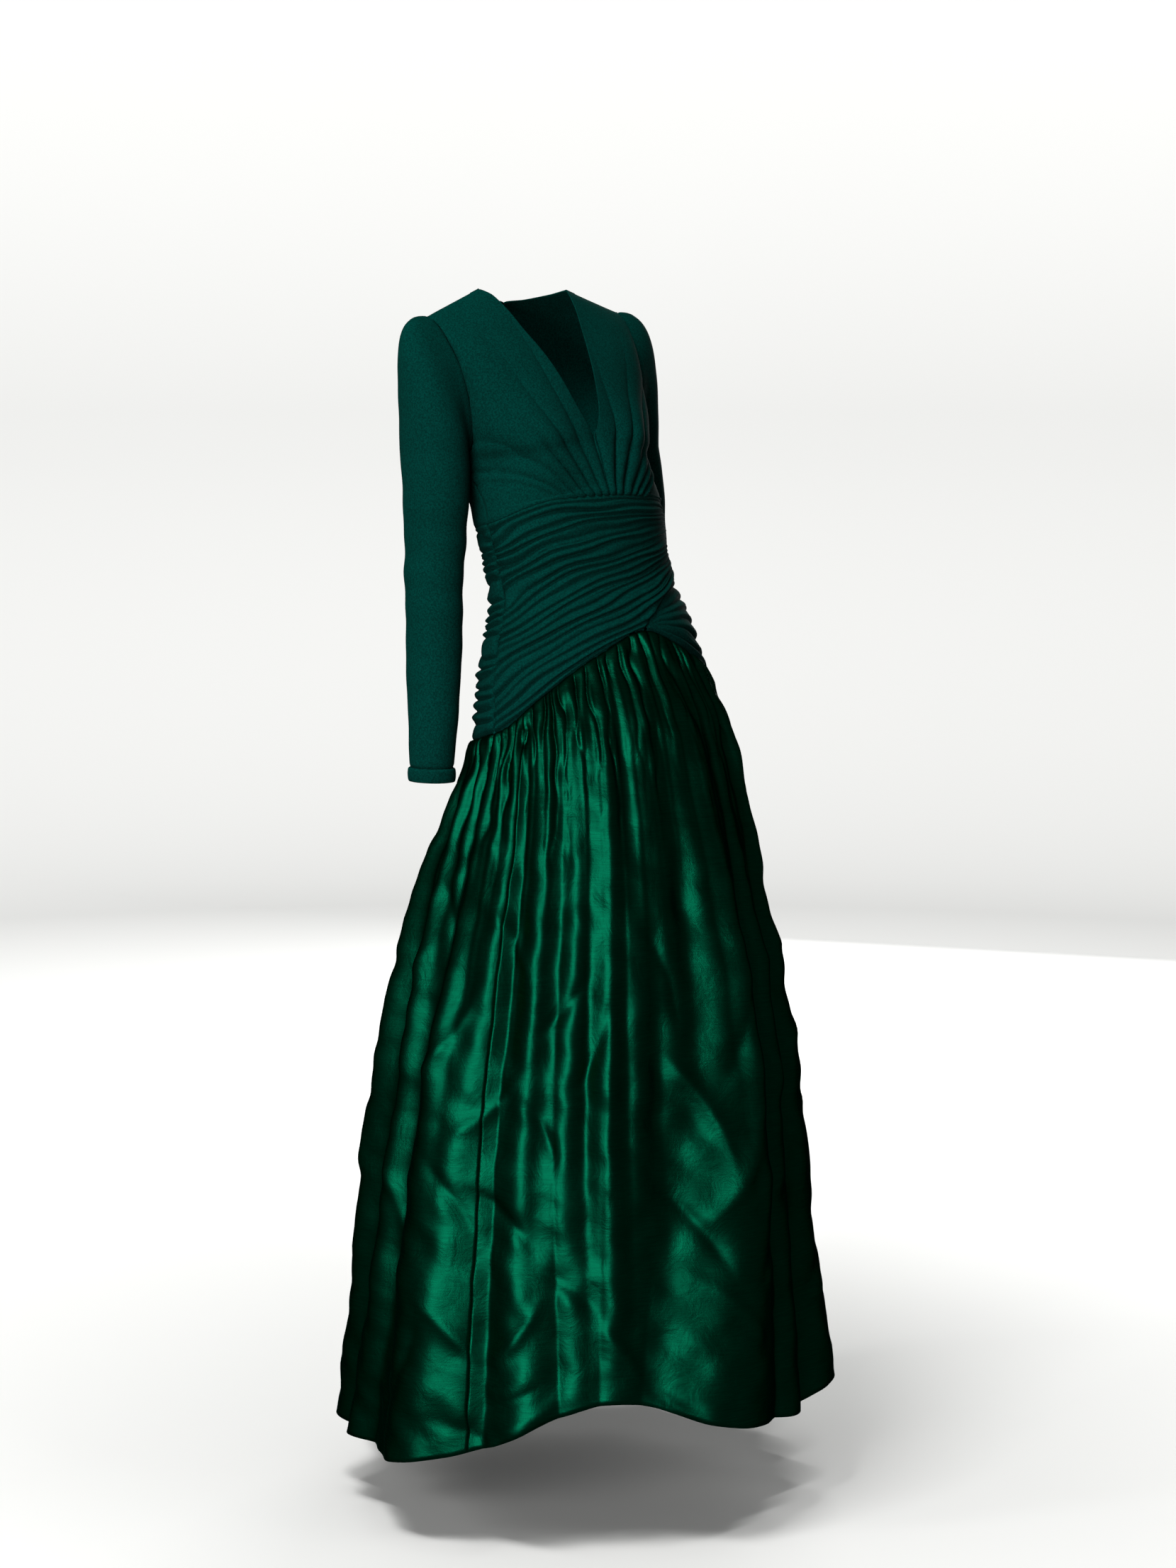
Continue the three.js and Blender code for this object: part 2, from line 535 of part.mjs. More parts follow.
// the large folds of the skirt at full size: round crests with narrow valleys between them, which lean below mid length
function hemFoldHeight(angle, level) {
  const lean = clamp01(level * 2 - 1);
  let height = 0;
  for (const fold of hemFolds) {
    let away = Math.abs(angle - lerp(fold.midAngle, fold.angle, lean));
    away = Math.min(away, 360 - away) / lerp(fold.midHalfWidth, fold.halfWidth, lean);
    if (away < 1) height = Math.max(height, fold.height * Math.cos((away * Math.PI) / 2) ** 1.3);
  }
  return height;
}

function skirtPiece(name, firstColumn, lastColumn) {
  const grid = [];
  const normals = [];
  for (const level of skirtLevels) {
    const row = [];
    const directions = [];
    for (let column = firstColumn; column <= lastColumn; column += 1) {
      const angle = (column * 360) / columnCount;
      const topZ = skirtEdgeLevel(angle);
      const z = lerp(topZ, tableValue(hemLine, 'angle', angle, 'z'), level);
      const below = topZ - z;
      const open = easeInOut(below / flareReach);
      const bodyPoint = sectionPoint(sectionAt(bodySections, z), angle, z);
      const skirtPoint = sectionPoint(sectionAt(skirtSections, z), angle, z);
      const crest = column % 2 === 0 ? 0.5 : -0.5;
      const gathers = gatherDepth * crest * (0.7 + 0.3 * clamp01(below / 25)) * clamp01(1 - below / 380);
      const out = skirtPoint.out;
      row.push(bodyPoint.point.lerp(skirtPoint.point, open).addScaledVector(out, gathers + hemFoldHeight(angle, level) * level ** 0.8));
      directions.push(out);
    }
    grid.push(row);
    normals.push(directions);
  }
  return clothPiece(name, taffetaColor, insetEdges(grid, { first: crossSeamInset, start: seamInset, end: seamInset }), normals, taffetaWall);
}

const gown = new THREE.Group();
gown.name = 'evening_gown';
gown.add(...bodiceSide(-1, 'right'), ...bodiceSide(1, 'left'));
gown.add(...midriffPieces());
gown.add(skirtPiece('skirt_front', -panelColumns, panelColumns));
gown.add(skirtPiece('skirt_back_right', -columnCount / 2, -panelColumns));
gown.add(skirtPiece('skirt_back_left', panelColumns, columnCount / 2));

export default gown;
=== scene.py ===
# Evening gown: wool jersey bodice and sleeves, ruched jersey midriff, gathered shot taffeta skirt.
# Shapes are worked out in millimetres in the row frame and scaled to metres once, in makeCloth.
import math
import random

import bpy
import numpy as np
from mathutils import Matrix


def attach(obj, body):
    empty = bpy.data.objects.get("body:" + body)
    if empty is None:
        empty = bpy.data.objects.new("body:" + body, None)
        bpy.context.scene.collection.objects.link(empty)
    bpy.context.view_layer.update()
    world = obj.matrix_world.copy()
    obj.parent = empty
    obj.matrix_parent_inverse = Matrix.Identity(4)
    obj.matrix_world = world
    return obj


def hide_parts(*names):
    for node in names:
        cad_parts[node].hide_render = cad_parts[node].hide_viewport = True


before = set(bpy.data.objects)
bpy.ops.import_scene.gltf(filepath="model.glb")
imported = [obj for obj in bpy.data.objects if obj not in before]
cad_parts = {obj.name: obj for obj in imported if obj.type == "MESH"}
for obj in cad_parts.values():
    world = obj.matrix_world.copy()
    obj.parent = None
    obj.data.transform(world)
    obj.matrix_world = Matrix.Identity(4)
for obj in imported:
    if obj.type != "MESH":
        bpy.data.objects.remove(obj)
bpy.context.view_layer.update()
print("frame loaded")

mm = 0.001

# torso under the cloth and the lines where the pieces meet, angles from centre front toward the wearer's left
body = {
    "z": [-600, -544, -491, -465, -438, -412, -386, -359, -333, -289, -240],
    "halfWidth": [180, 173, 163, 157, 149, 142, 133, 128, 129, 134, 136],
    "halfDepth": [134, 126, 117, 111, 106, 102, 97, 93, 91, 89, 89],
    "centreX": [15, 15, 14, 13, 12, 12, 12, 10, 8, 4, 1],
    "centreY": [-131, -131, -124, -120, -118, -116, -110, -101, -95, -87, -78],
}
underbustLine = {
    "angle": [-180, -130, -86, -33, 0, 50, 88, 130, 180],
    "z": [-292, -294, -286, -256, -251, -260, -277, -290, -292],
}
skirtLine = {
    "angle": [-180, -135, -86, -55, -28, 0, 28, 57, 88, 135, 180],
    "z": [-560, -556, -536, -487, -444, -416, -441, -472, -524, -552, -560],
}
crossingLine = {
    "angle": [0, 8, 17, 34, 55, 88],
    "z": [-416, -397, -384, -370, -360, -350],
}
sideSeam = {"z": [-560, -440, -340, -240], "angle": [87, 90, 88, 85]}


# value of one column of a table, as a smooth curve without overshoot
def curve(table, key, column, x):
    knots = np.array(table[key], float)
    values = np.array(table[column], float)
    step = np.diff(knots)
    secant = np.diff(values) / step
    slope = np.zeros(len(knots))
    slope[0], slope[-1] = secant[0], secant[-1]
    both = secant[:-1] * secant[1:]
    total = secant[:-1] + secant[1:]
    slope[1:-1] = np.where(both > 0, 2 * both / np.where(total == 0, 1, total), 0)
    x = np.clip(np.asarray(x, float), knots[0], knots[-1])
    i = np.clip(np.searchsorted(knots, x, side="right") - 1, 0, len(step) - 1)
    t = (x - knots[i]) / step[i]
    near = (2 * t ** 3 - 3 * t ** 2 + 1) * values[i] + (t ** 3 - 2 * t ** 2 + t) * step[i] * slope[i]
    far = (3 * t ** 2 - 2 * t ** 3) * values[i + 1] + (t ** 3 - t ** 2) * step[i] * slope[i + 1]
    return near + far


def clamp01(t):
    return np.clip(t, 0.0, 1.0)


def easeInOut(t):
    t = clamp01(t)
    return t * t * (3 - 2 * t)


# uneven smooth field between about -1 and 1, with waves about size across
def unevenness(x, y, sizeX, sizeY, seed):
    draw = random.Random(seed)
    total = np.zeros(np.broadcast(x, y).shape)
    for _ in range(6):
        turn = draw.uniform(0, math.tau)
        stretch = draw.uniform(0.6, 1.5)
        shift = draw.uniform(0, math.tau)
        across = math.cos(turn) * stretch * math.tau / sizeX
        down = math.sin(turn) * stretch * math.tau / sizeY
        total = total + np.sin(x * across + y * down + shift)
    return total / 3.4


# rounded ridges one unit apart with narrow valleys between them, from 0 in a valley to 1 on a crest
def ridges(phase, roundness=0.75):
    return np.abs(np.cos(np.pi * phase)) ** roundness


# points on an elliptical section of a table, and their level outward directions
def sectionPoints(table, angle, z):
    turn = np.radians(angle)
    halfWidth, halfDepth, centreX, centreY = (
        curve(table, "z", column, z) for column in ("halfWidth", "halfDepth", "centreX", "centreY"))
    out = np.stack([np.sin(turn) / halfWidth, -np.cos(turn) / halfDepth, np.zeros_like(turn)], -1)
    out /= np.linalg.norm(out, axis=-1, keepdims=True)
    x = centreX + halfWidth * np.sin(turn)
    y = centreY - halfDepth * np.cos(turn)
    return np.stack([x, y, z + 0 * x], -1), out


def gridNormals(points, outward):
    along = np.gradient(points, axis=1)
    up = np.gradient(points, axis=0)
    normals = np.cross(along, up)
    normals /= np.maximum(np.linalg.norm(normals, axis=-1, keepdims=True), 1e-9)
    middle = (points.shape[0] // 2, points.shape[1] // 2)
    if np.dot(normals[middle], outward) < 0:
        normals = -normals
    return normals


# a cut edge turns in toward its seam, so that the seam shows as a fine groove
def seamRoll(points, edges, reach, depth):
    roll = np.zeros(points.shape[:2])
    lines = {"first": points[:1], "last": points[-1:], "start": points[:, :1], "end": points[:, -1:]}
    for edge in edges:
        away = np.linalg.norm(points - lines[edge], axis=-1)
        roll = np.maximum(roll, np.exp(-(away / reach) ** 2))
    return roll * depth


def addNode(tree, kind, settings=None, links=None):
    node = tree.nodes.new(kind)
    for name, value in (settings or {}).items():
        if isinstance(name, int) or name in node.inputs:
            node.inputs[name].default_value = value
        else:
            setattr(node, name, value)
    for name, source in (links or {}).items():
        tree.links.new(source, node.inputs[name])
    return node


# one cloth sheet from a grid of outer points in millimetres
def makeCloth(name, points, wall, material, closed=False, outward=None):
    rows, columns = points.shape[:2]
    flat = (points.reshape(-1, 3) * mm).tolist()
    spans = columns if closed else columns - 1
    faces = []
    for i in range(rows - 1):
        for j in range(spans):
            k = (j + 1) % columns
            faces.append((i * columns + j, i * columns + k, (i + 1) * columns + k, (i + 1) * columns + j))
    mesh = bpy.data.meshes.new(name)
    mesh.from_pydata(flat, [], faces)
    mesh.update()
    i, j = rows // 2, columns // 2
    face = mesh.polygons[min(i, rows - 2) * spans + min(j, spans - 1)]
    if face.normal.dot(outward) < 0:
        mesh.flip_normals()
    piece = bpy.data.objects.new(name, mesh)
    bpy.context.scene.collection.objects.link(piece)
    mesh.materials.append(material)
    mesh.polygons.foreach_set("use_smooth", [True] * len(mesh.polygons))
    thick = piece.modifiers.new("cloth thickness", "SOLIDIFY")
    thick.thickness = wall * mm
    thick.offset = -1
    thick.use_rim = True
    return piece


def finishPiece(piece, nodes):
    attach(piece, "root")
    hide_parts(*nodes)


def toLinear(hexColour):
    channels = [int(hexColour[i:i + 2], 16) / 255 for i in (0, 2, 4)]
    return tuple(c / 12.92 if c <= 0.04045 else ((c + 0.055) / 1.055) ** 2.4 for c in channels) + (1.0,)


# wool jersey: knitted and slightly felted, so it is matte, soft edged and finely speckled
def makeWoolJersey():
    look = {
        "deep": "002d28", "light": "00423b", "speckle": 1.0, "loops": 0.9, "bump": 0.16, "bumpDepth": 0.4 * mm,
        "roughness": 0.95, "specular": 0.06, "sheen": 0.03, "sheenRoughness": 0.6, "sheenTint": "3c8c7e",
    }
    material = bpy.data.materials.new("wool jersey")
    material.use_nodes = True
    tree = material.node_tree
    shader = tree.nodes["Principled BSDF"]
    place = addNode(tree, "ShaderNodeTexCoord").outputs["Object"]
    flecks = addNode(tree, "ShaderNodeTexNoise", {
        "Scale": 1000 / look["speckle"] / 2, "Detail": 3.0, "Roughness": 0.7,
    }, {"Vector": place})
    ramp = addNode(tree, "ShaderNodeValToRGB", None, {"Fac": flecks.outputs["Fac"]})
    ramp.color_ramp.elements[0].position = 0.4
    ramp.color_ramp.elements[0].color = toLinear(look["deep"])
    ramp.color_ramp.elements[1].position = 0.62
    ramp.color_ramp.elements[1].color = toLinear(look["light"])
    loops = addNode(tree, "ShaderNodeTexNoise", {"Scale": 1000 / look["loops"] / 2, "Detail": 2.0}, {"Vector": place})
    bump = addNode(tree, "ShaderNodeBump", {"Strength": look["bump"], "Distance": look["bumpDepth"]},
                   {"Height": loops.outputs["Fac"]})
    tree.links.new(ramp.outputs["Color"], shader.inputs["Base Color"])
    tree.links.new(bump.outputs["Normal"], shader.inputs["Normal"])
    shader.inputs["Roughness"].default_value = look["roughness"]
    shader.inputs["Specular IOR Level"].default_value = look["specular"]
    shader.inputs["Sheen Weight"].default_value = look["sheen"]
    shader.inputs["Sheen Roughness"].default_value = look["sheenRoughness"]
    shader.inputs["Sheen Tint"].default_value = toLinear(look["sheenTint"])
    return material


# shot silk taffeta: emerald weft over black warp, bright where it faces the light and black where it turns away
def makeTaffeta():
    look = {
        "weft": "02593e", "turned": "024a34", "edge": "10402c", "roughness": 0.42,
        "slub": 0.5, "slubBump": 0.10, "slubDepth": 0.3 * mm, "crush": 34, "crushBump": 0.28, "crushDepth": 4 * mm,
    }
    material = bpy.data.materials.new("shot silk taffeta")
    material.use_nodes = True
    tree = material.node_tree
    shader = tree.nodes["Principled BSDF"]
    place = addNode(tree, "ShaderNodeTexCoord").outputs["Object"]
    squeeze = addNode(tree, "ShaderNodeMapping", {"Scale": (0.05, 0.05, 1.0)}, {"Vector": place})
    slubs = addNode(tree, "ShaderNodeTexNoise", {"Scale": 1000 / look["slub"] / 2, "Detail": 2.0},
                    {"Vector": squeeze.outputs["Vector"]})
    crush = addNode(tree, "ShaderNodeTexNoise", {
        "Scale": 1000 / look["crush"], "Detail": 5.0, "Roughness": 0.6, "Distortion": 0.8,
    }, {"Vector": place})
    slubBump = addNode(tree, "ShaderNodeBump", {"Strength": look["slubBump"], "Distance": look["slubDepth"]},
                       {"Height": slubs.outputs["Fac"]})
    crushBump = addNode(tree, "ShaderNodeBump", {"Strength": look["crushBump"], "Distance": look["crushDepth"]},
                        {"Height": crush.outputs["Fac"], "Normal": slubBump.outputs["Normal"]})
    shade = addNode(tree, "ShaderNodeValToRGB", None, {"Fac": slubs.outputs["Fac"]})
    shade.color_ramp.elements[0].position = 0.3
    shade.color_ramp.elements[0].color = toLinear(look["turned"])
    shade.color_ramp.elements[1].position = 0.7
    shade.color_ramp.elements[1].color = toLinear(look["weft"])
    tree.links.new(shade.outputs["Color"], shader.inputs["Base Color"])
    tree.links.new(crushBump.outputs["Normal"], shader.inputs["Normal"])
    shader.inputs["Metallic"].default_value = 1.0
    shader.inputs["Roughness"].default_value = look["roughness"]
    shader.inputs["Specular Tint"].default_value = toLinear(look["edge"])
    return material


woolJersey = makeWoolJersey()
taffeta = makeTaffeta()
print("materials made")

# bodice edges, a row for each level: neckline and centre front or back, then side seam and armhole
frontRows = {
    "row": [0, 1, 2, 3, 4, 5, 6, 7, 8, 9, 10, 11],
    "edgeX": [0, 0, 0, 0, 8, 17, 28, 37.5, 47, 56, 63.5, 70.5],
    "edgeY": [-167, -160, -151, -141, -136, -126, -105, -83, -60, -37, -15, 0],
    "edgeZ": [-251, -229, -207, -185, -168, -145, -106, -76, -50, -24, -6, 0],
    "sideX": [133, 133, 131, 129, 131, 134, 138, 143, 147, 149, 151, 152],
    "sideY": [-94, -84, -65, -43, -61, -67, -62, -48, -35, -25, -14, -4],
    "sideZ": [-286, -262, -238, -212, -194, -165, -125, -87, -66, -53, -43, -38],
    "fullness": [2, 2.1, 2.25, 2.35, 2.35, 2.3, 2.2, 2.1, 2, 2, 2, 2],
}
backRows = {
    "row": [0, 1, 2, 3, 4, 5, 6, 7, 8, 9, 10, 11],
    "edgeX": [0, 0, 0, 0, 0, 0, 0, 0, 0, 30, 56, 70.5],
    "edgeY": [2, 14, 28, 38, 47, 51, 50, 46, 40, 34, 19, 0],
    "edgeZ": [-292, -262, -232, -202, -163, -125, -84, -46, -15, -11, -5, 0],
    "sideX": [133, 133, 131, 129, 132, 137, 142, 146, 149, 150.5, 151.5, 152],
    "sideY": [-94, -84, -65, -43, -10, 10, 18, 19, 15, 9, 3, -4],
    "sideZ": [-286, -262, -238, -212, -190, -152, -116, -84, -62, -50, -42, -38],
    "fullness": [2, 2.1, 2.3, 2.4, 2.5, 2.4, 2.2, 2, 2, 2, 2, 2],
}
underarmRow = 3
lastBodiceRow = 11
bust = {"x": 76, "z": -192, "reach": 40, "rise": 46, "depth": 17}
# tucks fan up from the underbust seam: pitch there, height at which it has doubled, length of the inner and outer ones
tucks = {"count": 6.3, "pitch": 11.6, "doubled": 52, "inner": 165, "outer": 86, "depth": 8.5}
shoulderLift = {"right": 3, "left": 12, "from": 60, "span": 90, "below": -170, "rise": 120}


def liftAt(side, x, z):
    amount = shoulderLift["right"] if side < 0 else shoulderLift["left"]
    near = clamp01((x - shoulderLift["from"]) / shoulderLift["span"])
    return amount * near * clamp01((z - shoulderLift["below"]) / shoulderLift["rise"])


# side seam and armhole of a bodice panel at a row, which the sleeve shares
def sidePoint(rows, side, row):
    x, y, z = (curve(rows, "row", column, row) for column in ("sideX", "sideY", "sideZ"))
    return np.stack([x * side, y, z + liftAt(side, x, z)], -1)


def bodicePoints(rows, side, isFront, spread):
    row = np.linspace(0, lastBodiceRow, spread["rows"])[:, None]
    if isFront:
        share = np.sin(np.linspace(0, 1, spread["columns"]) ** 1.15 * math.pi / 2)[None, :]
    else:
        share = np.sin(np.linspace(0, math.pi / 2, spread["columns"]))[None, :]
    value = {column: curve(rows, "row", column, row) for column in rows if column != "row"}
    fall = np.maximum(1 - share ** value["fullness"], 0) ** (1 / value["fullness"])
    x = value["edgeX"] + (value["sideX"] - value["edgeX"]) * share
    z = value["edgeZ"] + (value["sideZ"] - value["edgeZ"]) * share
    y = value["sideY"] + (value["edgeY"] - value["sideY"]) * fall
    if isFront:
        aside = (x - bust["x"]) / bust["reach"]
        above = (z - bust["z"]) / bust["rise"]
        swell = bust["depth"] * np.exp(-aside ** 2 - above ** 2)
        y = y - swell * (1 - share ** 4) * np.minimum(1, share * 5)
    sway = curve(body, "z", "centreX", -289) * clamp01((-200 - z) / 60)
    points = np.stack([x * side + sway, y, z + liftAt(side, x, z)], -1)
    # the lowest rows close onto the underbust ring
    seamAngle = curve(sideSeam, "z", "angle", -286) * side
    centreAngle = 0 if isFront else 180 * side
    angle = centreAngle + (seamAngle - centreAngle) * np.arcsin(np.minimum(share[0], 1)) / (math.pi / 2)
    ring, _ = sectionPoints(body, angle, curve(underbustLine, "angle", "z", angle))
    settle = (1 - easeInOut(row / 1.0))[..., None]
    points = points + (ring - points[0])[None] * settle
    normals = gridNormals(points, np.array([0, -1.0 if isFront else 1.0, 0]))
    return points, normals, share + 0 * row


def makeBodiceFront(side, word):
    spread = {"rows": 110, "columns": 136}
    points, normals, share = bodicePoints(frontRows, side, True, spread)
    z = points[..., 2]
    across = np.abs(points[..., 0] - points[:1, :1, 0])
    height = z - points[:1, :, 2]
    place = across / (tucks["pitch"] * (1 + np.maximum(height, 0) / tucks["doubled"]))
    place = place + 0.14 * unevenness(place * 14, height, 50, 130, 3 + side)
    inside = clamp01((tucks["count"] - place) / 0.9)
    length = tucks["inner"] + (tucks["outer"] - tucks["inner"]) * clamp01(place / tucks["count"])
    length = length * (1 + 0.2 * unevenness(np.floor(place) * 31, 0 * z, 50, 60, 5 + side))
    fade = np.exp(-np.abs(height / length) ** 2.4) * (0.75 + 0.25 * clamp01(height / 16))
    strength = tucks["depth"] * fade * inside * (0.9 + 0.25 * unevenness(place * 12, z, 40, 120, 8 + side))
    tuck = (ridges(place + 0.5, 0.5) - 0.68) * strength
    drag = 0.4 * unevenness(share * 90, z, 80, 70, 21 + side) * clamp01((-60 - z) / 60) * (1 - share ** 12)
    roll = np.maximum(seamRoll(points, ["first"], 2.6, 1.3), seamRoll(points, ["end", "last"], 2.2, 0.8))
    points = points + normals * (tuck + drag - roll)[..., None]
    piece = makeCloth(f"bodice_front_{word}_cloth", points, 1.3, woolJersey, outward=(0, -1, 0))
    finishPiece(piece, [f"bodice_front_{word}"])


def makeBodiceBack(side, word):
    spread = {"rows": 70, "columns": 70}
    points, normals, share = bodicePoints(backRows, side, False, spread)
    z = points[..., 2]
    drag = 0.9 * unevenness(share * 110, z, 90, 70, 31 + side) * clamp01((-40 - z) / 60)
    roll = seamRoll(points, ["first", "start", "end", "last"], 2.4, 0.8)
    roll[:, :8] = np.where(z[:, :8] > -14, 0, roll[:, :8])
    drag = drag * (1 - share ** 12)
    points = points + normals * (drag - roll)[..., None]
    piece = makeCloth(f"bodice_back_{word}_cloth", points, 1.3, woolJersey, outward=(0, 1, 0))
    finishPiece(piece, [f"bodice_back_{word}"])


for side, word in ((-1, "right"), (1, "left")):
    makeBodiceFront(side, word)
    makeBodiceBack(side, word)
print("bodice made")

# sleeves, a row for each ring down the arm
arm = {
    "drop": [205, 253, 300, 340, 390, 440, 490, 540, 577],
    "out": [168, 172, 175, 178, 184, 190, 198, 206, 210.5],
    "rightY": [-37, -43, -46, -49, -55, -61, -71, -80, -83],
    "leftY": [-1, -9, -14, -20, -26, -32, -42, -51, -54],
    "halfWidth": [38, 36.5, 34.5, 33, 33, 32, 30, 27.5, 25.7],
    "halfDepth": [50, 47, 43, 40, 38.5, 37.5, 35.5, 32, 29.8],
}
sleeveTilt = 0.32
sleeveHead = {"out": 61, "lift": 5, "rows": 46}
sleeveAllowance = {"under": 1.6, "inward": 4.6}


def armRing(side, drop, turn, proud=0.0):
    armY = "rightY" if side < 0 else "leftY"
    inward = np.cos(turn * math.pi)
    tilt = sleeveTilt * clamp01((400 - drop) / 200)
    halfWidth = curve(arm, "drop", "halfWidth", drop)
    x = curve(arm, "drop", "out", drop) - (halfWidth + proud) * inward
    halfDepth = curve(arm, "drop", "halfDepth", drop)
    y = curve(arm, "drop", armY, drop) - (halfDepth + proud) * np.sin(turn * math.pi)
    return np.stack([x * side, y + 0 * x, -drop - halfWidth * inward * tilt], -1)


def makeSleeve(side, word):
    turn = np.linspace(0, 2, 80, endpoint=False)
    span = lastBodiceRow - underarmRow
    frontRim = sidePoint(frontRows, side, underarmRow + span * np.minimum(turn, 1))
    backRim = sidePoint(backRows, side, underarmRow + span * np.minimum(2 - turn, 1))
    rim = np.where((turn <= 1)[:, None], frontRim, backRim)
    target = armRing(side, arm["drop"][0] + 0 * turn, turn)
    over = (1 - np.cos(turn * math.pi)) / 2
    leave = rim + np.stack([side * (3 + (sleeveHead["out"] - 3) * over), 0 * over, sleeveHead["lift"] * over], -1)
    rise = (rim[:, 2] - target[:, 2]) * (0.3 + 0.4 * over)
    arrive = target + np.stack([0 * over, 0 * over, rise], -1)
    t = np.linspace(0, 1, sleeveHead["rows"])[:, None, None]
    head = (1 - t) ** 3 * rim + 3 * (1 - t) ** 2 * t * leave + 3 * (1 - t) * t ** 2 * arrive + t ** 3 * target
    drops = np.linspace(arm["drop"][0], arm["drop"][-1], 96)[1:]
    below = np.stack([armRing(side, drop + 0 * turn, turn) for drop in drops])
    points = np.concatenate([head, below])
    wrapped = np.concatenate([points[:, -1:], points, points[:, :1]], 1)
    normals = np.cross(np.gradient(wrapped, axis=1), np.gradient(wrapped, axis=0))[:, 1:-1]
    normals /= np.maximum(np.linalg.norm(normals, axis=-1, keepdims=True), 1e-9)
    outside = normals[len(points) // 2, len(turn) // 2]
    if outside[0] * side < 0:
        normals = -normals
    z = points[..., 2]
    around = turn[None, :] * 70
    elbow = np.exp(-((z + 345) / 70) ** 2)
    drag = (0.5 + 1.3 * elbow) * unevenness(around + 0 * z, z, 140, 60, 41 + side)
    drag = drag * clamp01((-60 - z) / 40)
    roll = np.maximum(seamRoll(points, ["first"], 2.2, 0.8), seamRoll(points, ["last"], 2.4, 1.0))
    seam = 0.8 * np.exp(-((np.minimum(turn, 2 - turn)[None, :] * 70) / 2.4) ** 2) * clamp01((-230 - z) / 10)
    points = points + normals * (drag - roll - seam)[..., None]
    # the seam allowance is tucked in behind the armhole edge
    inward = np.array([side * sleeveAllowance["inward"], 0, 0])
    allowance = points[:1] - normals[:1] * sleeveAllowance["under"] - inward
    points = np.concatenate([allowance, points])
    piece = makeCloth(f"sleeve_{word}_cloth", points, 1.3, woolJersey, closed=True, outward=(side, 0, 0))
    finishPiece(piece, [f"sleeve_{word}"])


def makeCuff(side, word):
    band = {"top": 577, "height": 17, "proud": 0.6, "bulge": 1.5}
    turn = np.linspace(0, 2, 80, endpoint=False)
    share = np.linspace(0, 1, 18)
    rows = []
    for s in share:
        bulge = band["proud"] + band["bulge"] * math.sin(math.pi * s) ** 0.5 - 1.6 * math.exp(-(s / 0.06) ** 2)
        ring = armRing(side, band["top"] + 0 * turn, turn, bulge)
        ripple = 0.5 * unevenness(turn * 60, 0 * turn, 90, 90, 51 + side)
        ring[:, 2] = -band["top"] - 0.4 - band["height"] * s + ripple
        rows.append(ring)
    piece = makeCloth(f"cuff_{word}_cloth", np.stack(rows), 1.4, woolJersey, closed=True, outward=(side, 0, 0))
    finishPiece(piece, [f"cuff_{word}"])


for side, word in ((-1, "right"), (1, "left")):
    makeSleeve(side, word)
    makeCuff(side, word)
print("sleeves made")


# place round the body: share 0 is centre front, 1 the side seam, 2 centre back, negative on the wearer's right
def bodyAngle(share, z):
    seam = curve(sideSeam, "z", "angle", z)
    turn = np.abs(share)
    return np.sign(share) * np.where(turn <= 1, turn * seam, seam + (180 - seam) * (turn - 1))


def lineLevel(line, share):
    nearly = curve(line, "angle", "z", bodyAngle(share, -360 + 0 * share))
    return curve(line, "angle", "z", bodyAngle(share, nearly))


# lower guide of the draped folds, which run smoothly over centre front toward the left waist
foldGuide = {
    "share": [-1, -0.64, -0.33, 0, 0.24, 0.52, 1],
    "z": [-536, -487, -446, -415, -396, -377, -352],
}


# ruched panel between two lines: soft tubes of cloth run across it, some of them dying out or joining on the way
def makeRuched(name, nodes, shares, upper, lower, folds, look):
    topZ = lineLevel(upper, shares)[None, :]
    bottomZ = lower(shares)[None, :]
    down = np.linspace(0, 1, look["rows"])[:, None]
    z = topZ + (bottomZ - topZ) * down
    share = shares[None, :] + 0 * down
    points, out = sectionPoints(body, bodyAngle(share, z), z)
    guideZ = look["guide"](shares)[None, :]
    pitch = (topZ - guideZ) / folds + 0 * down
    level = (topZ - z) / pitch
    along = share * 140
    edgeHold = clamp01(level / 0.9)
    shift = look["wander"] * unevenness(along, level * 13, 210, 75, look["seed"])
    shift = shift + 0.45 * look["wander"] * unevenness(along, level * 13, 85, 34, look["seed"] + 1)
    phase = level + shift * edgeHold
    vary = 0.9 + 0.5 * unevenness(along, phase * 13, 150, 24, look["seed"] + 2)
    depth = np.minimum(pitch * look["depth"], look["most"]) * look["fade"](share) * np.clip(vary, 0.15, 1.35)
    fold = (ridges(phase, look["roundness"]) - 0.55) * depth
    fold = fold + look["lean"] * depth * np.sin(math.tau * phase + 0.8)
    split = np.clip(unevenness(along, phase * 13, 120, 30, look["seed"] + 3), 0, 1)
    fold = fold - 0.75 * depth * split * (1 - ridges(phase + 0.5, 0.45)) * edgeHold
    sideways = np.abs(np.abs(share) - 1) * 150
    fold = fold * (1 + look["pucker"] * np.exp(-sideways / look["puckerReach"]))
    fold = fold * (1 - np.exp(-(sideways / 2.6) ** 2))
    roll = seamRoll(points, look["seams"], 3.2, 2.6)
    points = points + out * (fold - roll + look["proud"](share, down))[..., None]
    piece = makeCloth(name, points, 1.2, woolJersey, outward=look["outward"])
    finishPiece(piece, nodes)


def crossedEdge(shares):
    return np.where(shares < 0, lineLevel(skirtLine, shares), lineLevel(crossingLine, np.maximum(shares, 0.0001)))


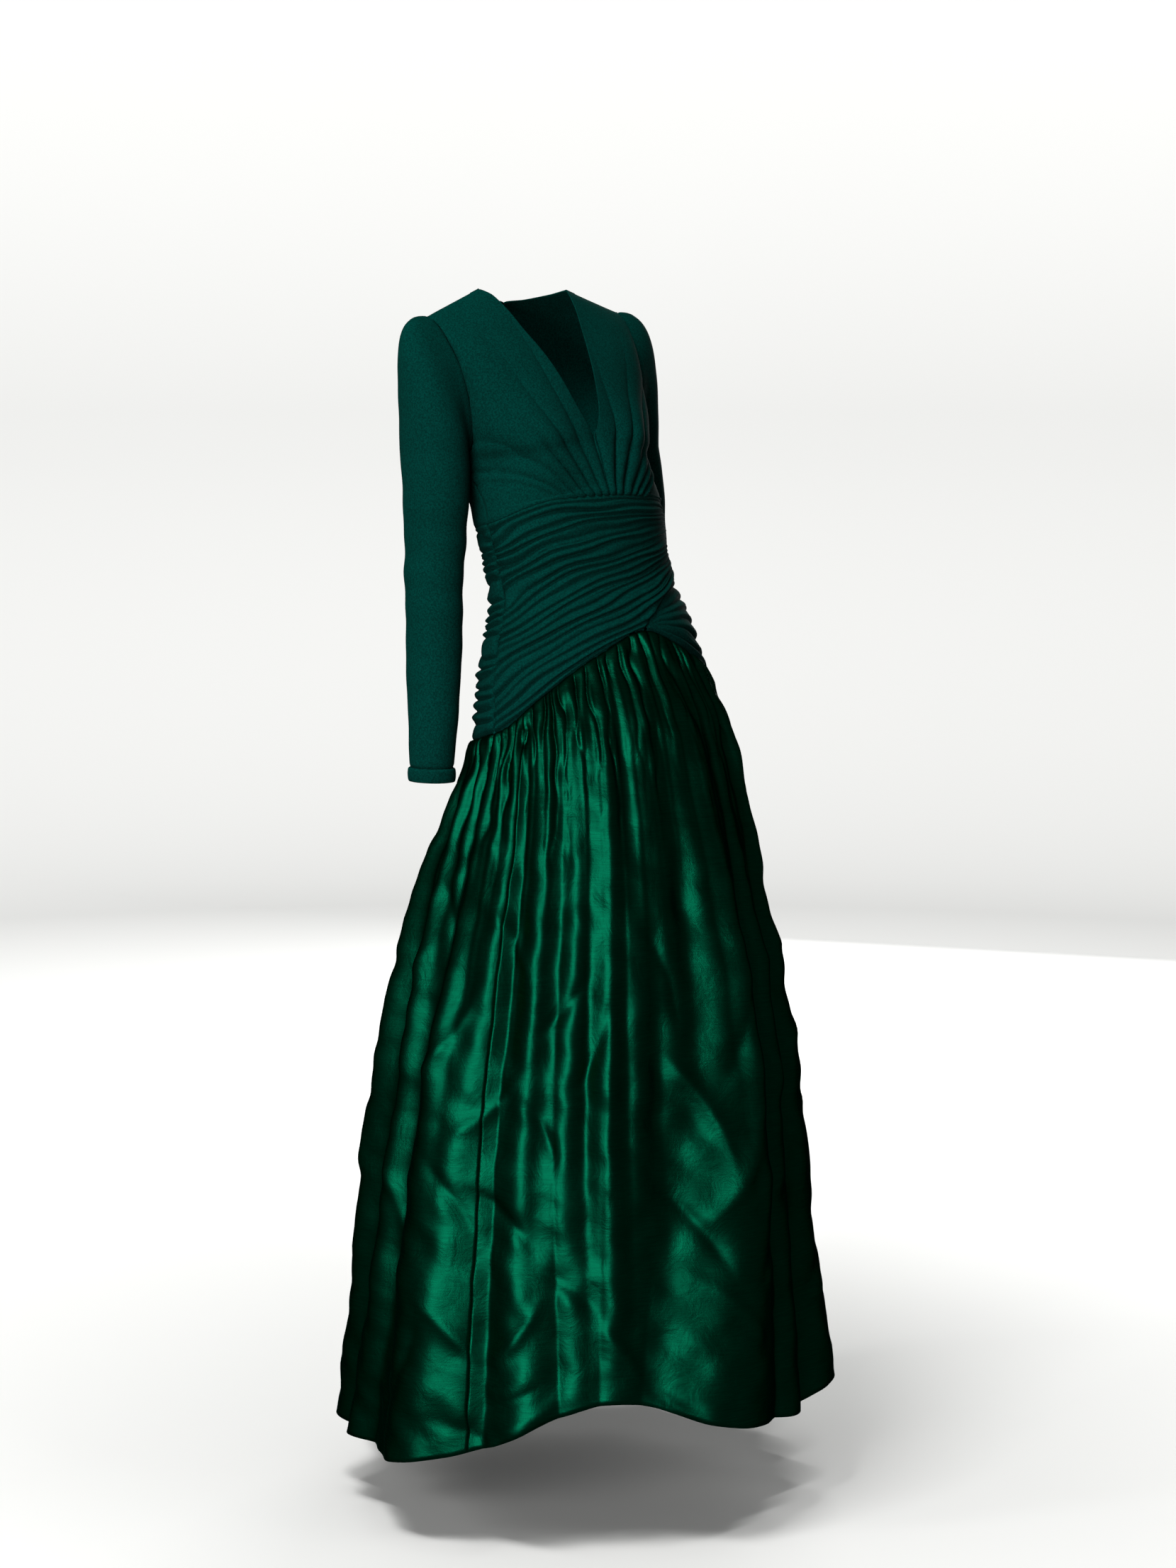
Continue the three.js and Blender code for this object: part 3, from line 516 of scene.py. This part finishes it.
frontShares = np.concatenate([np.linspace(-1, -0.02, 92), np.linspace(0, 1, 98)])
makeRuched("midriff_front_cloth", ["midriff_front"], frontShares, underbustLine, crossedEdge, 19, {
    "guide": lambda shares: curve(foldGuide, "share", "z", shares),
    "rows": 196, "wander": 0.62, "seed": 61, "depth": 0.52, "most": 6.6, "roundness": 0.5, "lean": 0.2,
    "pucker": 0.25, "puckerReach": 14, "seams": ["first", "last", "start", "end"], "outward": (0, -1, 0),
    "flat": (0.42, 0.4), "area": 0.095,
    "fade": lambda share: 0.92 + 0.2 * np.abs(share) ** 3,
    "proud": lambda share, down: 3.2 * clamp01(share * 8) * easeInOut((down - 0.7) / 0.3),
})
makeRuched("midriff_front_under_cloth", ["midriff_front_under"], np.linspace(0.03, 1, 90), crossingLine,
           lambda shares: lineLevel(skirtLine, shares), 7, {
    "guide": lambda shares: lineLevel(skirtLine, shares),
    "rows": 84, "wander": 0.5, "seed": 67, "depth": 0.5, "most": 6.0, "roundness": 0.6, "lean": 0.16,
    "pucker": 0.2, "puckerReach": 14, "seams": ["first", "last", "end"], "outward": (0, -1, 0),
    "flat": (0.2, 0.2), "area": 0.024,
    "fade": lambda share: clamp01(share * 1.4),
    "proud": lambda share, down: -1.8 * clamp01(1 - down * 3),
})
for side, word in ((-1, "right"), (1, "left")):
    makeRuched(f"midriff_back_{word}_cloth", [f"midriff_back_{word}"], side * np.linspace(1, 2, 72), underbustLine,
               lambda shares: lineLevel(skirtLine, shares), 19, {
        "guide": lambda shares: lineLevel(skirtLine, shares),
        "rows": 206, "wander": 0.6, "seed": 71 + side, "depth": 0.5, "most": 6.4, "roundness": 0.75, "lean": 0.0,
        "pucker": 0.5, "puckerReach": 26, "seams": ["first", "last", "start", "end"], "outward": (0, 1, 0),
        "flat": (0.28, 0.42), "area": 0.08,
        "fade": lambda share: 1.05 - 0.3 * (np.abs(share) - 1),
        "proud": lambda share, down: 0,
    })
print("midriff made")

# skirt: elliptical sections under the folds, then the hem line and the large folds at the hem
skirt = {
    "z": [-1420, -1317, -1169, -1022, -876, -732, -640, -560, -440],
    "halfWidth": [304, 294, 276, 257, 232, 203, 187, 173, 153],
    "halfDepth": [290, 280, 262, 243, 220, 191, 163, 139, 112],
    "centreX": [12, 12, 12, 12, 12, 12, 14, 15, 13],
    "centreY": [-112, -112, -110, -110, -115, -121, -128, -131, -120],
}
hemLine = {
    "angle": [-180, -140, -112, -94, -76, -62, -46, -33, -24, -12, 0, 22, 40, 75, 110, 180],
    "z": [
        -1398, -1412, -1418, -1416, -1399, -1378, -1338, -1322, -1328, -1350, -1364, -1376, -1360,
        -1366, -1388, -1398,
    ],
}
hemFolds = {
    "angle": [-172, -150, -126, -111, -82, -54, -41, -32, -5, 17, 38, 60, 82, 104, 126, 150],
    "midAngle": [-172, -150, -122, -98, -76, -57, -41, -27, 9, 25, 41, 60, 82, 104, 126, 150],
    "halfWidth": [13, 13, 13, 10, 22, 13, 10, 9, 24, 11, 16, 12, 15, 13, 13, 13],
    "midHalfWidth": [13, 13, 12, 10, 18, 11, 10, 10, 19, 11, 14, 12, 15, 13, 13, 13],
    "height": [24, 28, 26, 20, 34, 20, 8, 6, 36, 22, 32, 22, 30, 25, 29, 26],
}
# soft folds that run down from the gathers: angles and levels where they start and end, half width at the top, height
softFolds = {
    "fromAngle": [
        -128, -119, -110, -101, -92, -84, -76, -69, -62, -55, -48, -41, -34, -28, -21, -14, -7, 0, 7,
        14, 22, 30, 38, 47, 56,
    ],
    "toAngle": [
        -131, -121, -113, -103, -95, -85, -78, -70, -61, -55, -46, -42, -33, -29, -18, -12, -4, 2, 12,
        17, 27, 33, 43, 51, 60,
    ],
    "startZ": [
        -575, -570, -572, -566, -560, -556, -540, -525, -512, -500, -488, -475, -462, -452, -442, -432,
        -424, -424, -430, -438, -448, -460, -474, -490, -506,
    ],
    "endZ": [
        -900, -1150, -880, -1100, -940, -1240, -900, -1060, -860, -1180, -900, -1020, -1330, -900, -960,
        -1120, -860, -1000, -1300, -880, -1060, -900, -1180, -920, -1060,
    ],
    "width": [
        13, 15, 12, 15, 13, 16, 12, 14, 12, 15, 12, 13, 15, 12, 13, 15, 12, 13, 15, 12, 14, 12, 15, 13,
        14,
    ],
    "height": [8, 10, 7, 9, 8, 11, 7, 9, 7, 10, 8, 9, 12, 7, 9, 10, 7, 9, 12, 7, 9, 8, 11, 8, 9],
}
# broader folds lower down, where the gathers have run together: crest, reach to each side in degrees, height
broadFolds = {
    "angle": [-120, -101, -88, -46, -33, -24, 7, 27, 48],
    "toRight": [8, 7, 30, 8, 7, 8, 11, 8, 9],
    "toLeft": [9, 9, 6, 7, 6, 8, 24, 8, 8],
    "topZ": [-600, -600, -760, -700, -800, -640, -680, -700, -680],
    "endZ": [-1480, -1440, -1500, -1300, -1400, -1250, -1500, -1300, -1400],
    "height": [11, 11, 17, 10, 9, 10, 18, 9, 12],
}
# gathers at the seam: how many go round, how rounded they are, how high and how far down they run
gathers = {
    "around": 58, "roundness": 0.5, "height": 8.4, "heightVaries": 4.0,
    "reach": 92, "reachVaries": 66, "shortest": 26,
}
hemBand = {"down": 0.966, "depth": 0.9, "width": 0.004}
skirtAllowance = {"rise": 4, "inward": 9}
# creases in the crisp cloth: place, lean from upright in degrees, length, width and depth
creases = {
    "angle": [
        -92, -80, -74, -66, -60, -55, -50, -44, -63, -57, -72, -85, -47, -5, 2, -9, 6, -2, 10, -14, 24,
        30, 34, -36, -30, 40, -96, -69, -52, -18,
    ],
    "z": [
        -760, -900, -1080, -980, -1100, -1240, -1000, -1180, -780, -1320, -1240, -1300, -860, -980,
        -1060, -1120, -900, -1220, -1160, -820, -940, -1060, -860, -900, -1260, -1200, -1120, -1360,
        -1340, -1330,
    ],
    "lean": [
        24, -32, 38, -46, 52, -38, 28, 58, 34, -64, 44, -28, -40, 26, -30, 34, -22, 40, -36, 18, 30,
        -26, 22, -18, 36, -34, 20, 70, -58, 48,
    ],
    "length": [
        90, 120, 110, 95, 100, 90, 80, 85, 90, 80, 105, 120, 80, 150, 140, 120, 110, 100, 90, 120, 130,
        120, 100, 90, 80, 110, 110, 80, 75, 90,
    ],
    "width": [
        9, 11, 10, 8, 9, 8, 8, 8, 9, 8, 10, 11, 8, 11, 11, 10, 10, 9, 9, 10, 10, 10, 9, 8, 8, 10, 10, 9,
        8, 9,
    ],
    "depth": [
        4, -5, 5, -4, 4.5, -4, 3.5, 4, -4, 4, -5, 5, 3.5, -6, -6, 5, 4.5, -4, 4, 4, -5, 4.5, -4, 4,
        -3.5, 4, -5, 4, -3.5, 4,
    ],
}


def hemFoldHeight(angle, down):
    lean = clamp01(down * 2 - 1)
    height = np.zeros_like(angle)
    for row in zip(*hemFolds.values()):
        fold = dict(zip(hemFolds, row))
        away = np.abs(angle - (fold["midAngle"] + (fold["angle"] - fold["midAngle"]) * lean))
        halfWidth = fold["midHalfWidth"] + (fold["halfWidth"] - fold["midHalfWidth"]) * lean
        away = np.minimum(away, 360 - away) / halfWidth
        shape = 0.5 + 0.5 * np.cos(np.minimum(away, 1) * math.pi)
        height = np.maximum(height, np.where(away < 1, fold["height"] * shape, 0))
    return height


def angleApart(angle, centre):
    return (angle - centre + 180) % 360 - 180


# the folds of the seen side, then ones like them drawn round the rest
def allSoftFolds():
    folds = [dict(zip(softFolds, row)) for row in zip(*softFolds.values())]
    draw = random.Random(5)
    angle = 65
    while angle < 227:
        folds.append({
            "fromAngle": angle, "toAngle": angle + draw.uniform(-4, 4), "startZ": draw.uniform(-575, -545),
            "endZ": -draw.choice([880, 940, 1060, 1150, 1300]), "width": draw.uniform(12, 16),
            "height": draw.uniform(7, 11),
        })
        angle += draw.uniform(7, 9.5)
    return folds


def allBroadFolds():
    folds = [dict(zip(broadFolds, row)) for row in zip(*broadFolds.values())]
    draw = random.Random(6)
    angle = 68
    while angle < 230:
        folds.append({
            "angle": angle, "toRight": draw.uniform(6, 12), "toLeft": draw.uniform(6, 16),
            "topZ": -draw.uniform(640, 800), "endZ": -draw.uniform(1280, 1500), "height": draw.uniform(9, 16),
        })
        angle += draw.uniform(14, 21)
    return folds


def allCreases():
    marks = [dict(zip(creases, row)) for row in zip(*creases.values())]
    draw = random.Random(9)
    for _ in range(44):
        marks.append({
            "angle": draw.uniform(50, 255), "z": draw.uniform(-1350, -740), "lean": draw.uniform(-60, 60),
            "length": draw.uniform(75, 150), "width": draw.uniform(8, 11),
            "depth": draw.choice([-1, 1]) * draw.uniform(3.5, 5.5),
        })
    return marks


softFoldList = allSoftFolds()
broadFoldList = allBroadFolds()
creaseList = allCreases()


def skirtSurface(angle, down):
    topZ = curve(skirtLine, "angle", "z", angle)
    z = topZ + (curve(hemLine, "angle", "z", angle) - topZ) * down
    below = topZ - z
    bodyPoint, _ = sectionPoints(body, angle, z)
    skirtPoint, out = sectionPoints(skirt, angle, z)
    opened = easeInOut(below / 150)[..., None]
    points = bodyPoint + (skirtPoint - bodyPoint) * opened
    radius = curve(skirt, "z", "halfWidth", z)
    arc = np.radians(angle) * radius
    # gathers at the seam, uneven in spacing, length and height
    jitter = 0.5 * unevenness(angle, 0 * angle, 24, 60, 81) + 0.24 * unevenness(angle, below, 12, 60, 82)
    reach = gathers["reach"] + gathers["reachVaries"] * unevenness(angle, 0 * angle, 9, 60, 83)
    gather = ridges(angle * gathers["around"] / 360 + jitter, gathers["roundness"]) - 0.5
    gatherHeight = gathers["height"] + gathers["heightVaries"] * unevenness(angle, below, 13, 80, 84)
    gatherHeight = gatherHeight * np.exp(-(below / np.maximum(reach, gathers["shortest"])) ** 1.6)
    height = gather * gatherHeight * (0.6 + 0.4 * clamp01(below / 14))
    # soft folds
    for fold in softFoldList:
        part = (fold["startZ"] - z) / (fold["startZ"] - fold["endZ"])
        centre = fold["fromAngle"] + (fold["toAngle"] - fold["fromAngle"]) * clamp01(part)
        sideways = np.radians(angleApart(angle, centre)) * radius
        away = np.abs(sideways) / (fold["width"] * (1 + 1.5 * clamp01(part)))
        shape = np.cos(np.minimum(away, 1) * math.pi / 2) ** (1.2 + clamp01(part))
        grown = 1.3 * fold["height"] * easeInOut((part + 0.03) / 0.16) * easeInOut((1 - part) / 0.6)
        height = height + shape * grown
    for fold in broadFoldList:
        part = (fold["topZ"] - z) / (fold["topZ"] - fold["endZ"])
        apart = angleApart(angle, fold["angle"])
        away = np.where(apart > 0, apart / fold["toRight"], -apart / fold["toLeft"])
        shape = np.where(away < 1, 0.5 + 0.5 * np.cos(np.minimum(away, 1) * math.pi), 0)
        grown = fold["height"] * easeInOut((part + 0.1) / 0.4) * easeInOut((1 - part) / 0.5)
        height = height + shape * grown
    # large folds
    height = height + hemFoldHeight(angle, down) * np.maximum(down, 0) ** 0.8
    # creases and a light unevenness of the crisp cloth
    for mark in creaseList:
        u = np.radians(angleApart(angle, mark["angle"])) * radius
        v = z - mark["z"]
        lean = math.radians(mark["lean"])
        across = u * math.cos(lean) + v * math.sin(lean)
        along = -u * math.sin(lean) + v * math.cos(lean)
        bend = across + 0.0022 * along ** 2
        shape = np.exp(-np.abs(bend / mark["width"]) ** 1.5) * np.exp(-(along / (mark["length"] * 0.5)) ** 4)
        height = height - 1.1 * mark["depth"] * shape
    ripple = unevenness(arc, z, 110, 150, 91) * 2.2 + unevenness(arc, z, 58, 46, 92) * 1.2
    ripple = ripple + unevenness(arc, z, 30, 22, 93) * 0.28 * clamp01(0.6 + unevenness(arc, z, 160, 160, 94))
    height = height + ripple * clamp01(below / 120)
    hemTurn = hemBand["depth"] * np.exp(-((down - hemBand["down"]) / hemBand["width"]) ** 2)
    return points + out * (height - hemTurn - 4.0 * clamp01(below / 200))[..., None]


def makeSkirtPanel(name, node, fromAngle, toAngle, columns, outward):
    down = np.linspace(0, 1, 170)[:, None] ** 1.25
    angle = np.linspace(fromAngle, toAngle, columns)[None, :] + 0 * down
    points = skirtSurface(angle, down + 0 * angle)
    _, out = sectionPoints(skirt, angle, points[..., 2])
    roll = seamRoll(points, ["first"], 2.2, 1.2) + seamRoll(points, ["start", "end"], 1.6, 0.25)
    points = points - out * roll[..., None]
    # the seam allowance is tucked up behind the midriff's edge
    edgeZ = curve(skirtLine, "angle", "z", angle[:1]) + skirtAllowance["rise"]
    edge, edgeOut = sectionPoints(body, angle[:1], edgeZ)
    points = np.concatenate([edge - edgeOut * skirtAllowance["inward"], points])
    piece = makeCloth(name, points, 0.6, taffeta, outward=outward)
    finishPiece(piece, [node])


makeSkirtPanel("skirt_front_cloth", "skirt_front", -67.5, 67.5, 280, (0, -1, 0))
makeSkirtPanel("skirt_back_right_cloth", "skirt_back_right", -180, -67.5, 160, (-1, 0, 0))
makeSkirtPanel("skirt_back_left_cloth", "skirt_back_left", 67.5, 180, 160, (1, 0, 0))

# hand stitches along a path, one short length of thread at each step
def makeStitchTree(material):
    tree = bpy.data.node_groups.new("stitches along a path", "GeometryNodeTree")
    tree.interface.new_socket("Path", in_out="INPUT", socket_type="NodeSocketGeometry")
    for name in ("Spacing", "Stitch length", "Thread radius", "Slant"):
        tree.interface.new_socket(name, in_out="INPUT", socket_type="NodeSocketFloat")
    tree.interface.new_socket("Seed", in_out="INPUT", socket_type="NodeSocketInt")
    tree.interface.new_socket("Stitches", in_out="OUTPUT", socket_type="NodeSocketGeometry")
    given = addNode(tree, "NodeGroupInput").outputs
    path = addNode(tree, "GeometryNodeMeshToCurve", None, {"Mesh": given["Path"]})
    steps = addNode(tree, "GeometryNodeResampleCurve", {"mode": "LENGTH"},
                    {"Curve": path.outputs["Curve"], "Length": given["Spacing"]})
    along = addNode(tree, "GeometryNodeInputTangent")
    turned = addNode(tree, "FunctionNodeAlignRotationToVector", {"axis": "Z"}, {"Vector": along.outputs["Tangent"]})
    less = addNode(tree, "ShaderNodeMath", {"operation": "MULTIPLY", 1: -1.0}, {0: given["Slant"]})
    slant = addNode(tree, "FunctionNodeRandomValue", {"data_type": "FLOAT"},
                    {2: less.outputs[0], 3: given["Slant"], "Seed": given["Seed"]})
    slanted = addNode(tree, "FunctionNodeRotateRotation", {"rotation_space": "LOCAL"},
                      {"Rotation": turned.outputs["Rotation"], "Rotate By": slant.outputs[1]})
    bead = addNode(tree, "GeometryNodeMeshUVSphere", {"Segments": 6, "Rings": 4, "Radius": 0.5})
    wide = addNode(tree, "ShaderNodeMath", {"operation": "MULTIPLY", 1: 2.0}, {0: given["Thread radius"]})
    size = addNode(tree, "ShaderNodeCombineXYZ", None,
                   {"X": wide.outputs[0], "Y": wide.outputs[0], "Z": given["Stitch length"]})
    placed = addNode(tree, "GeometryNodeInstanceOnPoints", None, {
        "Points": steps.outputs["Curve"], "Instance": bead.outputs["Mesh"],
        "Rotation": slanted.outputs["Rotation"], "Scale": size.outputs["Vector"],
    })
    real = addNode(tree, "GeometryNodeRealizeInstances", None, {"Geometry": placed.outputs["Instances"]})
    dressed = addNode(tree, "GeometryNodeSetMaterial", {"Material": material}, {"Geometry": real.outputs["Geometry"]})
    addNode(tree, "NodeGroupOutput", None, {"Stitches": dressed.outputs["Geometry"]})
    return tree


def makeStitches(name, tree, points, sizes):
    mesh = bpy.data.meshes.new(name)
    mesh.from_pydata((points * mm).tolist(), [(i, i + 1) for i in range(len(points) - 1)], [])
    guide = bpy.data.objects.new(f"{name}_path", mesh)
    bpy.context.scene.collection.objects.link(guide)
    modifier = guide.modifiers.new("stitches", "NODES")
    modifier.node_group = tree
    for socket in tree.interface.items_tree:
        if socket.in_out == "INPUT" and socket.name in sizes:
            modifier[socket.identifier] = sizes[socket.name]
    done = bpy.data.meshes.new_from_object(guide.evaluated_get(bpy.context.evaluated_depsgraph_get()))
    guide.modifiers.remove(modifier)
    bpy.data.objects.remove(guide)
    done.name = name
    done.polygons.foreach_set("use_smooth", [True] * len(done.polygons))
    piece = bpy.data.objects.new(name, done)
    bpy.context.scene.collection.objects.link(piece)
    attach(piece, "root")


def makeSkirtStitches():
    tree = makeStitchTree(taffeta)
    seam = {"Spacing": 6.0 * mm, "Stitch length": 2.6 * mm, "Thread radius": 0.3 * mm, "Slant": 0.1, "Seed": 3}
    hem = {"Spacing": 13.0 * mm, "Stitch length": 1.6 * mm, "Thread radius": 0.45 * mm, "Slant": 0.5, "Seed": 4}
    besideSeam = 0.45
    for word, angle in (("right", -67.5), ("left", 67.5)):
        down = np.linspace(0.03, 0.995, 400)
        makeStitches(f"seam_stitches_{word}", tree, skirtSurface(angle + besideSeam + 0 * down, down), seam)
    angle = np.linspace(-180, 180, 900)
    makeStitches("hem_stitches", tree, skirtSurface(angle, hemBand["down"] + 0 * angle), hem)


makeSkirtStitches()
print("skirt made")

# floor, lights and camera; the room is turned with the camera
viewTurn = math.radians(40.0)
gownMiddle = (0, -0.1, -0.75)
ahead = (math.sin(viewTurn), math.cos(viewTurn))
right = (math.cos(viewTurn), -math.sin(viewTurn))


# place in the room seen from the camera: metres to its right, toward the gown and up from the neck
def roomPlace(toRight, toward, up):
    return (right[0] * toRight + ahead[0] * toward, right[1] * toRight + ahead[1] * toward, up)


# pale paper all round: a floor that curves up on every side, kept out of the silk's reflections
def makeSweep():
    room = {"floorZ": -1.505, "flat": 4.4, "bend": 1.3, "top": 4.5, "steps": 14, "sides": 96}
    profile = [(0.05, room["floorZ"]), (room["flat"], room["floorZ"])]
    for i in range(1, room["steps"] + 1):
        turn = math.pi / 2 * i / room["steps"]
        reach = room["flat"] + room["bend"] * math.sin(turn)
        profile.append((reach, room["floorZ"] + room["bend"] * (1 - math.cos(turn))))
    profile.append((room["flat"] + room["bend"], room["top"]))
    sides = room["sides"]
    corners = [(reach * math.cos(math.tau * k / sides), reach * math.sin(math.tau * k / sides), up)
               for reach, up in profile for k in range(sides)]
    faces = [tuple(range(sides))]
    for i in range(len(profile) - 1):
        for k in range(sides):
            n = (k + 1) % sides
            faces.append((i * sides + k, (i + 1) * sides + k, (i + 1) * sides + n, i * sides + n))
    mesh = bpy.data.meshes.new("paper_sweep")
    mesh.from_pydata(corners, [], faces)
    mesh.polygons.foreach_set("use_smooth", [True] * len(mesh.polygons))
    paper = bpy.data.materials.new("pale paper")
    paper.use_nodes = True
    paperShader = paper.node_tree.nodes["Principled BSDF"]
    paperShader.inputs["Base Color"].default_value = toLinear("f4f4f2")
    paperShader.inputs["Roughness"].default_value = 0.9
    paperShader.inputs["Specular IOR Level"].default_value = 0.1
    mesh.materials.append(paper)
    sweep = bpy.data.objects.new("paper_sweep", mesh)
    bpy.context.scene.collection.objects.link(sweep)
    sweep.visible_glossy = False
    sweep.visible_diffuse = False


makeSweep()
world = bpy.data.worlds.new("studio")
bpy.context.scene.world = world
world.use_nodes = True
worldTree = world.node_tree
worldTree.nodes["Background"].inputs["Color"].default_value = toLinear("dfe4e2")
worldTree.nodes["Background"].inputs["Strength"].default_value = 0.07
bpy.context.scene.view_settings.view_transform = "Standard"


# an area light that looks at a point of the gown
def makeLight(name, place, target, size, power, inSilk=True):
    light = bpy.data.lights.new(name, "AREA")
    light.shape = "RECTANGLE"
    light.size, light.size_y = size
    light.energy = power
    lamp = bpy.data.objects.new(name, light)
    bpy.context.scene.collection.objects.link(lamp)
    lamp.location = place
    toward = [t - p for t, p in zip(target, place)]
    flat = math.hypot(toward[0], toward[1])
    lamp.rotation_euler = (math.atan2(flat, -toward[2]), 0, math.atan2(-toward[0], toward[1]))
    lamp.visible_glossy = inSilk
    lamp.visible_camera = False


makeLight("key softbox", roomPlace(-1.1, -3.6, -0.3), gownMiddle, (1.9, 2.7), 70)
makeLight("high light", roomPlace(-0.7, -1.1, 2.3), (0, -0.1, -0.4), (1.0, 0.6), 52, inSilk=False)
makeLight("side light", roomPlace(-2.8, -1.2, 0.5), (0, -0.1, -0.3), (0.4, 1.0), 14, inSilk=False)
makeLight("back softbox", roomPlace(1.2, 3.4, -0.1), gownMiddle, (1.9, 2.4), 50)
for toRight, toward in ((-1, 1), (1, 1), (1, -1), (-1, -1)):
    makeLight("paper light", roomPlace(1.1 * toRight, 1.1 * toward, 2.4),
              roomPlace(3.8 * toRight, 3.8 * toward, 0.5), (2.2, 1.0), 200, inSilk=False)

shot = {"distance": 4.0, "toRight": 0.0815, "up": -0.116, "pitch": 7.23, "lens": 72.55}
cameraData = bpy.data.cameras.new("camera")
cameraData.lens = shot["lens"]
cameraData.dof.use_dof = False
camera = bpy.data.objects.new("camera", cameraData)
bpy.context.scene.collection.objects.link(camera)
camera.location = roomPlace(shot["toRight"], -shot["distance"], shot["up"])
camera.rotation_euler = (math.radians(90 - shot["pitch"]), 0, -viewTurn)
bpy.context.scene.camera = camera
print("stage made")
